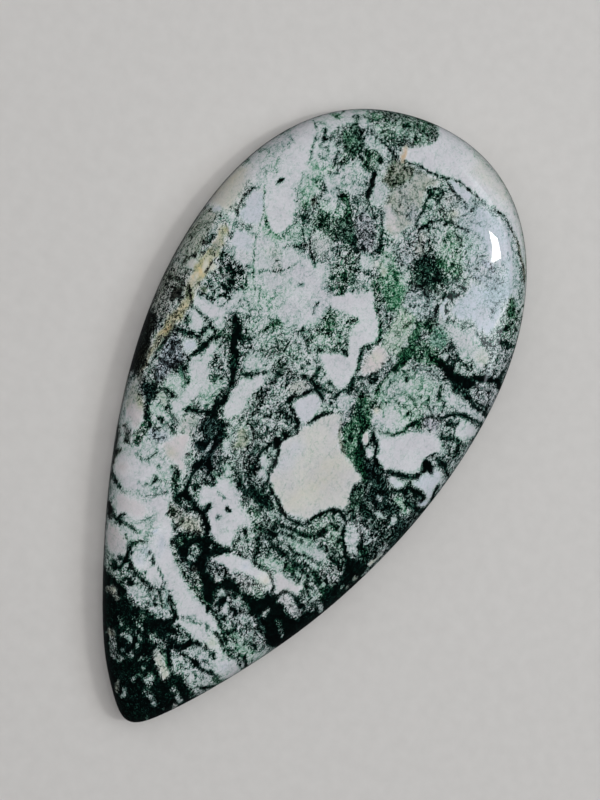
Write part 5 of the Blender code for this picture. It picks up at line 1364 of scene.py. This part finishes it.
line(0.97, 2.2,-19.1,.08, 2.6,-19.2,.12, 2.9,-19.4,.15, 3.2,-19.3,.15, 3.1,-19.1,.1)
line(0.88, 3.4,-19.55,.12)
patch(0.32, -0.9,-19.5, -0.4,-19.2, 0.3,-19, 0.6,-19.2, 0.4,-19.7, -0.2,-19.6)
patch(0.18, -0.2,-20.3, 0.4,-20.5, 1,-20.8, 1.7,-20.9, 2.6,-21.1, 3.6,-21.1, 4.8,-21, 5.6,-21.2, 5,-21.6,
      4.3,-21.9, 3.5,-22, 2.8,-22.1, 2,-22, 1.2,-22, 0.7,-21.9, 0.3,-21.5, 0.1,-21, broken=1.5)
line(0.45, 1.2,-21.1,.08, 1.7,-21.3,.12, 2.7,-21.5,.08)
line(1.0, 0.4,-20.1,.08, 0.9,-20.5,.1, 1.3,-20.4,.06, 1.8,-20.5,.08, 2.1,-20.7,.08)
line(0.97, 2.2,-20.6,.2, 2.5,-20.8,.15, 3.1,-20.9,.12, 3.7,-20.8,.12, 4.1,-20.8,.1, 4.6,-21.1,.1)
line(0.5, 2.7,-20.1,.05, 3.4,-20.3,.05)
line(0.72, 4.3,-21.2,.2, 4.9,-21.3,.25, 5.3,-21.3,.2, green=0.6)
line(0.88, 3.4,-22.4,.1, 3.9,-22.3,.15, 4.3,-22,.15, 4.9,-21.8,.14)
line(0.25, 2.6,-22.4,.15, 3.2,-22.6,.2, 4,-22.8,.15, broken=1.4)
patch(0.22, -2.3,-20.2, -1.9,-20, -1.6,-20.3, -1.2,-20.1, -0.8,-20.1, -0.6,-20.6, -1,-20.7, -1.4,-20.7,
      -2,-20.7, -2.2,-20.4, broken=1.3)
patch(0.12, -1.2,-21, -0.9,-21, -0.5,-21.3, 0,-21.8, 0.5,-22.2, 0.85,-22.5, 0.8,-22.8, 0.7,-23.1, 0.4,-23,
      0.1,-22.7, -0.3,-22.3, -0.9,-22, -1.2,-21.5, soft=0.1, broken=1.5, colour=CREAM, strength=0.7)
line(0.62, -0.8,-20.9,.15, -0.3,-21.2,.2, 0.1,-21.7,.15, 0.5,-22.1,.1, green=1.0)
line(0.97, 0,-21,.12, 0.2,-21.5,.12, 0.6,-21.8,.12)
line(0.3, -4,-19.6,.12, -3.3,-19.9,.12, -2.9,-20.1,.08, broken=1.0)
line(0.35, -5,-20.2,.15, -4.6,-20.5,.1, broken=0.9)
line(0.35, -4,-20.65,.06, -3.7,-20.6,.05)
line(0.1, -3.3,-20.6,.05, -2.9,-20.75,.05, -2.6,-20.8,.05)
line(0.28, -4.1,-21.3,.15, -3.7,-21.2,.12, broken=1.0)
line(0.1, -3.5,-21.2,.18, -3.3,-21.4,.15)
line(0.12, -2.8,-21.45,.1, -2.7,-21.5,.1)
line(0.68, -4.9,-21.7,.3, broken=0.8, colour=BEIGE_AND_RIM_SHADE)
line(0.8, -3.5,-19.2,.3, broken=1.1, green=0.6)
line(0.62, -6.6,-18.5,.3, -6,-18.8,.2, broken=1.0, colour=BEIGE_AND_RIM_SHADE)
line(0.08, -6.4,-18.4,.12, colour=CREAM)
line(0.4, -3.5,-22.4,.12)
line(0.68, -4.6,-22,.25, -3.9,-23.3,.2, broken=1.2)
line(0.35, -2.8,-22.4,.25, broken=1.0)
line(0.3, -2.1,-22.3,.12, -1.8,-22.1,.15, -1.4,-22.1,.15, broken=1.0)
line(0.4, -3.6,-22.9,.1, -3.3,-23.2,.15, -3.1,-22.9,.12, broken=1.0)
line(0.5, -1.4,-23,.15)
line(0.15, -0.7,-23.3,.15, -0.3,-23.4,.15, -0.6,-23.6,.15, broken=1.4)
line(0.2, -0.8,-23.8,.1, -0.5,-23.9,.1, -0.2,-23.9,.15, broken=1.2)
line(0.3, -1.4,-23.6,.08, -1.2,-23.5,.05)
line(0.35, -1.7,-23.9,.12, -1.6,-24.2,.15, broken=0.9)
line(0.45, -0.2,-24.6,.2, 0.4,-24.8,.2, 0.5,-24.9,.1, broken=0.9)
line(0.25, 0.8,-25.1,.15, 1.1,-25.2,.1)
line(0.25, -1.8,-25.3,.1, -1.6,-25.7,.1, -1.6,-26,.08)
line(0.35, 1.7,-23.4,.2, 2.2,-23.6,.12, broken=1.0)
line(0.3, 2.4,-23.9,.2, 2.8,-24.1,.2, broken=1.1)
line(0.35, 2.5,-24.6,.15, 2.9,-25,.2, broken=0.8, colour=PINK)
line(0.5, 1.9,-25.3,.15)
line(0.5, -2.6,-25,.1, -2.2,-25.8,.1, colour=BEIGE_AND_RIM_SHADE)
line(0.5, 1.05,-26.6,.06, 1.2,-26.9,.05)
line(0.6, 3.3,-23.4,.15)

for name, values in (
    ("markings", np.c_[moss, busy, leaf, np.ones(len(surface))]),
    ("stain_and_painted_light", np.c_[stain_and_painted_light, stain_and_painted_light_strength]),
):
    layer = stone_mesh.attributes.new(name, "FLOAT_COLOR", "POINT")
    layer.data.foreach_set("color", values.astype(np.float32).ravel())

# The polished agate's material
# Chalcedony polished to a wet gloss. Its colour runs from milky white through green-grey to
# nearly black with the amount of moss, which fine threads, thickets and gaps break up.
agate = bpy.data.materials.new("polished_tree_agate")
agate.use_nodes = True
nodes = agate.node_tree.nodes
links = agate.node_tree.links
shader = nodes["Principled BSDF"]


def node(kind, settings=(), **inputs):
    """A shader node with its settings, its values, and links for inputs that are sockets.

    An input is given by its name, or by the letter i and its place where names repeat.
    """
    made = nodes.new("ShaderNode" + kind)
    for name, value in dict(settings).items():
        setattr(made, name, value)
    for name, value in inputs.items():
        socket = made.inputs[int(name[1:])] if name[0] == "i" and name[1:].isdigit() else made.inputs[name]
        if isinstance(value, bpy.types.NodeSocket):
            links.new(value, socket)
        else:
            socket.default_value = value
    return made


def maths(operation, first, second, third=0.0, clamp=False):
    """The answer of one sum on two or three values."""
    made = node("Math", {"operation": operation, "use_clamp": clamp}, i0=first, i1=second, i2=third)
    return made.outputs[0]


def falling(value, width):
    """1 where a value is 0, falling evenly to 0 at a width."""
    return node("MapRange", Value=value, i1=0.0, i2=width, i3=1.0, i4=0.0).outputs["Result"]


def colour_ramp(amount, stops):
    """A colour that follows an amount through the given stops."""
    made = node("ValToRGB", Fac=amount)
    ramp = made.color_ramp
    while len(ramp.elements) < len(stops):
        ramp.elements.new(0.5)
    for element, (place, colour) in zip(ramp.elements, stops):
        element.position = place
        element.color = (*screen_colour(*colour), 1.0)
    return made.outputs["Color"]


def blend(amount, first, second, blend_type="MIX"):
    """One colour mixed into another by an amount."""
    made = node("Mix", {"data_type": "RGBA", "blend_type": blend_type}, i0=amount, i6=first, i7=second)
    return made.outputs[2]


# The painted layers. The moss was kept spread, and this ramp brings its levels back.
where = node("TexCoord").outputs["Object"]
marks = node("Attribute", {"attribute_name": "markings"})
kept_moss, busy_amount, leaf_amount = node("SeparateColor", Color=marks.outputs["Color"]).outputs
unspread = node("ValToRGB", Fac=kept_moss)
levels = np.linspace(0.0, 1.0, 13)
for _ in levels[2:]:
    unspread.color_ramp.elements.new(0.5)
for element, level in zip(unspread.color_ramp.elements, levels):
    element.position = spread(level)
    element.color = (level, level, level, 1.0)
moss_amount = unspread.outputs["Color"]
stain_and_painted_light_layer = node("Attribute", {"attribute_name": "stain_and_painted_light"})

# The fine growth, drawn out a little along one slanting way of the slab
along_growth = node("Mapping", Vector=where, Scale=(1.0, 0.7, 1.0), Rotation=(0.0, 0.0, 0.25)).outputs[0]


def threads(scale, half_width, distortion, detail=2.0):
    """Thin curling threads: 1 where a noise crosses its middle value, 0 half a width away."""
    noise = node(
        "TexNoise", Vector=along_growth, Scale=scale, Detail=detail, Roughness=0.6, Distortion=distortion,
    )
    return falling(maths("ABSOLUTE", maths("SUBTRACT", noise.outputs["Fac"], 0.5), 0.0), half_width)


def web(scale, reach, width):
    """A net of threads: the borders of small cells, in a space that a noise bends by a reach."""
    bending = node("TexNoise", Vector=along_growth, Scale=scale, Detail=2.0).outputs["Color"]
    bent = node(
        "VectorMath", {"operation": "MULTIPLY_ADD"}, i0=bending, i1=(reach, reach, reach), i2=along_growth,
    ).outputs[0]
    cells = node("TexVoronoi", {"feature": "DISTANCE_TO_EDGE"}, Vector=bent, Scale=scale)
    return falling(cells.outputs["Distance"], width)


growth = node("TexNoise", Vector=along_growth, Scale=1700.0, Detail=3.0, Roughness=0.55, Distortion=1.4)
thicket = node("MapRange", Value=growth.outputs["Fac"], i1=0.27, i2=0.69).outputs["Result"]
grain = node("TexNoise", Vector=where, Scale=5200.0, Detail=1.0, Roughness=0.6).outputs["Fac"]
clouds = node("TexNoise", Vector=where, Scale=420.0, Detail=4.0, Roughness=0.6).outputs["Fac"]

# How far the growth swings the moss. Threads and grain darken it where there is a thicket,
# long threads darken it anywhere, and gaps lighten it.
tangle = maths("MULTIPLY", threads(2600.0, 0.05, 1.6), 1.7)
tangle = maths("MULTIPLY_ADD", web(1700.0, 1.3 * MM, 0.13), 1.5, tangle)
tangle = maths("MULTIPLY_ADD", grain, 0.9, tangle)
swing = maths("MULTIPLY_ADD", thicket, tangle, -0.27)
swing = maths("MULTIPLY_ADD", threads(900.0, 0.022, 1.2), 0.8, swing)
swing = maths("MULTIPLY_ADD", threads(4000.0, 0.08, 1.5, 1.0), -1.2, swing)

# How much of that swing shows: most in the middle levels and little in clear white or black
evenness = maths("MULTIPLY", moss_amount, maths("SUBTRACT", 1.0, moss_amount))
breaking = maths("MULTIPLY", evenness, maths("MULTIPLY_ADD", moss_amount, 3.6, 1.1))
breaking = maths("ADD", breaking, maths("MULTIPLY_ADD", moss_amount, -0.08, 0.1))
broken_amount = maths("MULTIPLY", breaking, busy_amount)
density = maths("MULTIPLY_ADD", swing, broken_amount, moss_amount, clamp=True)

# The colours. Moss is grey-green or leaf-green, and the stain layer, which also holds painted
# shade, shadow and reflection, shows only where the stone is pale.
grey_moss = colour_ramp(density, (
    (0.0, (209, 207, 213)), (0.15, (186, 191, 196)), (0.34, (139, 161, 159)), (0.5, (88, 120, 117)),
    (0.62, (44, 75, 73)), (0.74, (15, 34, 34)), (0.85, (3, 12, 13)), (1.0, (0, 3, 3)),
))
green_moss = colour_ramp(density, (
    (0.0, (205, 207, 209)), (0.15, (176, 195, 187)), (0.34, (107, 160, 131)), (0.5, (53, 121, 83)),
    (0.62, (27, 86, 55)), (0.74, (8, 49, 33)), (0.85, (2, 16, 13)), (1.0, (0, 4, 3)),
))
greenness = maths("MULTIPLY_ADD", leaf_amount, 0.9, maths("MULTIPLY_ADD", clouds, 1.4, -0.58), clamp=True)
mossy = blend(greenness, grey_moss, green_moss)
stain_and_painted_light_breaks = maths("MULTIPLY_ADD", clouds, 1.8, -0.1)
stain_and_painted_light_share = maths("MULTIPLY", stain_and_painted_light_layer.outputs["Alpha"], maths("SUBTRACT", 1.0, density))
stain_and_painted_light_share = maths("MULTIPLY", stain_and_painted_light_share, stain_and_painted_light_breaks, clamp=True)
coloured = blend(stain_and_painted_light_share, mossy, stain_and_painted_light_layer.outputs["Color"])

# Milky mottling over all of it, and a polish that is a little uneven
milk = maths("MULTIPLY_ADD", grain, 0.22, maths("MULTIPLY_ADD", clouds, 0.34, 0.74))
links.new(blend(1.0, coloured, milk, "MULTIPLY"), shader.inputs["Base Color"])
links.new(maths("MULTIPLY_ADD", clouds, 0.03, 0.02), shader.inputs["Roughness"])
shader.inputs["IOR"].default_value = 1.54
stone_mesh.materials.append(agate)

stone = bpy.data.objects.new("tree_agate_cabochon", stone_mesh)
bpy.context.scene.collection.objects.link(stone)
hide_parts("cabochon")
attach(stone, "root")

# The floor
# A plain pale table top, laid with matt paper of a faint uneven tone. It is only there for the
# stone to lie on.
FLOOR_HALF_SIDE = 2.0
floor_mesh = bpy.data.meshes.new("floor")
floor_mesh.from_pydata(
    [(x * FLOOR_HALF_SIDE, y * FLOOR_HALF_SIDE, 0.0) for x, y in ((-1, -1), (1, -1), (1, 1), (-1, 1))],
    [], [(0, 1, 2, 3)],
)
floor_material = bpy.data.materials.new("pale_floor")
floor_material.use_nodes = True
nodes = floor_material.node_tree.nodes
links = floor_material.node_tree.links
floor_shader = nodes["Principled BSDF"]
fibres = node("TexNoise", Vector=node("TexCoord").outputs["Object"], Scale=900.0, Detail=3.0).outputs["Fac"]
paper = colour_ramp(fibres, ((0.3, (204, 201, 198)), (0.7, (208, 205, 202))))
links.new(paper, floor_shader.inputs["Base Color"])
floor_shader.inputs["Roughness"].default_value = 0.7
floor_mesh.materials.append(floor_material)
floor = bpy.data.objects.new("floor", floor_mesh)
floor.visible_glossy = False
bpy.context.scene.collection.objects.link(floor)

# The light
# A dim room, with a pane of window light and a small bright lamp that the polish mirrors on the
# right of the wide end, and two large soft lamps that it doesn't mirror.
world = bpy.data.worlds.new("room")
world.use_nodes = True
background = world.node_tree.nodes["Background"]
background.inputs["Color"].default_value = (0.9, 0.95, 1.0, 1.0)
background.inputs["Strength"].default_value = 0.02
bpy.context.scene.world = world


def soft_light(name, left, right, front, rear, height, brightness, colour, mirrored=True, turn=0.0):
    """A level lamp over the stone that spans slopes from the upright: left to right, front to rear.

    Its power is its brightness times pi times its area.
    """
    lamp = bpy.data.lights.new(name, "AREA")
    lamp.shape = "RECTANGLE"
    lamp.size = (right - left) * height
    lamp.size_y = (rear - front) * height
    lamp.energy = brightness * math.pi * lamp.size * lamp.size_y
    lamp.color = colour
    thing = bpy.data.objects.new(name, lamp)
    thing.location = Vector(((left + right) / 2, (front + rear) / 2, 1.0)) * height
    thing.rotation_euler = (0.0, 0.0, math.radians(turn))
    thing.visible_glossy = mirrored
    bpy.context.scene.collection.objects.link(thing)


for name, left, right, brightness in (
    ("pane_edge", 0.36, 0.42, 0.6), ("pane_side", 0.42, 0.48, 1.4), ("pane", 0.48, 1.12, 2.3),
):
    soft_light(name, left, right, 0.15, 0.95, 0.5, brightness, (0.82, 0.92, 1.0))
soft_light("lamp", 0.397, 0.56, 0.289, 0.344, 0.45, 70.0, (1.0, 0.99, 0.97), turn=36.0)
soft_light("key", -0.3, 1.1, -0.3, 1.1, 0.6, 1.17, (1.0, 0.99, 0.98), mirrored=False)
soft_light("fill", -2.4, 0.1, -1.2, 1.2, 0.7, 0.7, (0.97, 0.98, 1.0), mirrored=False)

# The camera
# It looks down on the stone, a little over its left flank, with the wide end to the upper right.
VIEW_AIM = Vector((-0.04, 2.36, 2.5)) * MM
VIEW_DISTANCE = 0.165
VIEW_TILT = math.radians(9.0)
VIEW_LEAN = math.radians(28.0)
back_way = Vector((-math.sin(VIEW_TILT), 0.0, math.cos(VIEW_TILT)))
level_way = Vector((0.0, 1.0, 0.0)).cross(back_way).normalized()
upper_way = back_way.cross(level_way)
right_way = math.cos(VIEW_LEAN) * level_way + math.sin(VIEW_LEAN) * upper_way
up_way = math.cos(VIEW_LEAN) * upper_way - math.sin(VIEW_LEAN) * level_way
camera_data = bpy.data.cameras.new("camera")
camera_data.lens = 90.0
camera_data.sensor_width = 36.0
camera_data.clip_start = 0.01
camera = bpy.data.objects.new("camera", camera_data)
turn = Matrix((right_way, up_way, back_way)).transposed().to_4x4()
camera.matrix_world = Matrix.Translation(VIEW_AIM + VIEW_DISTANCE * back_way) @ turn
bpy.context.scene.collection.objects.link(camera)
bpy.context.scene.camera = camera
bpy.context.scene.view_settings.view_transform = "Standard"
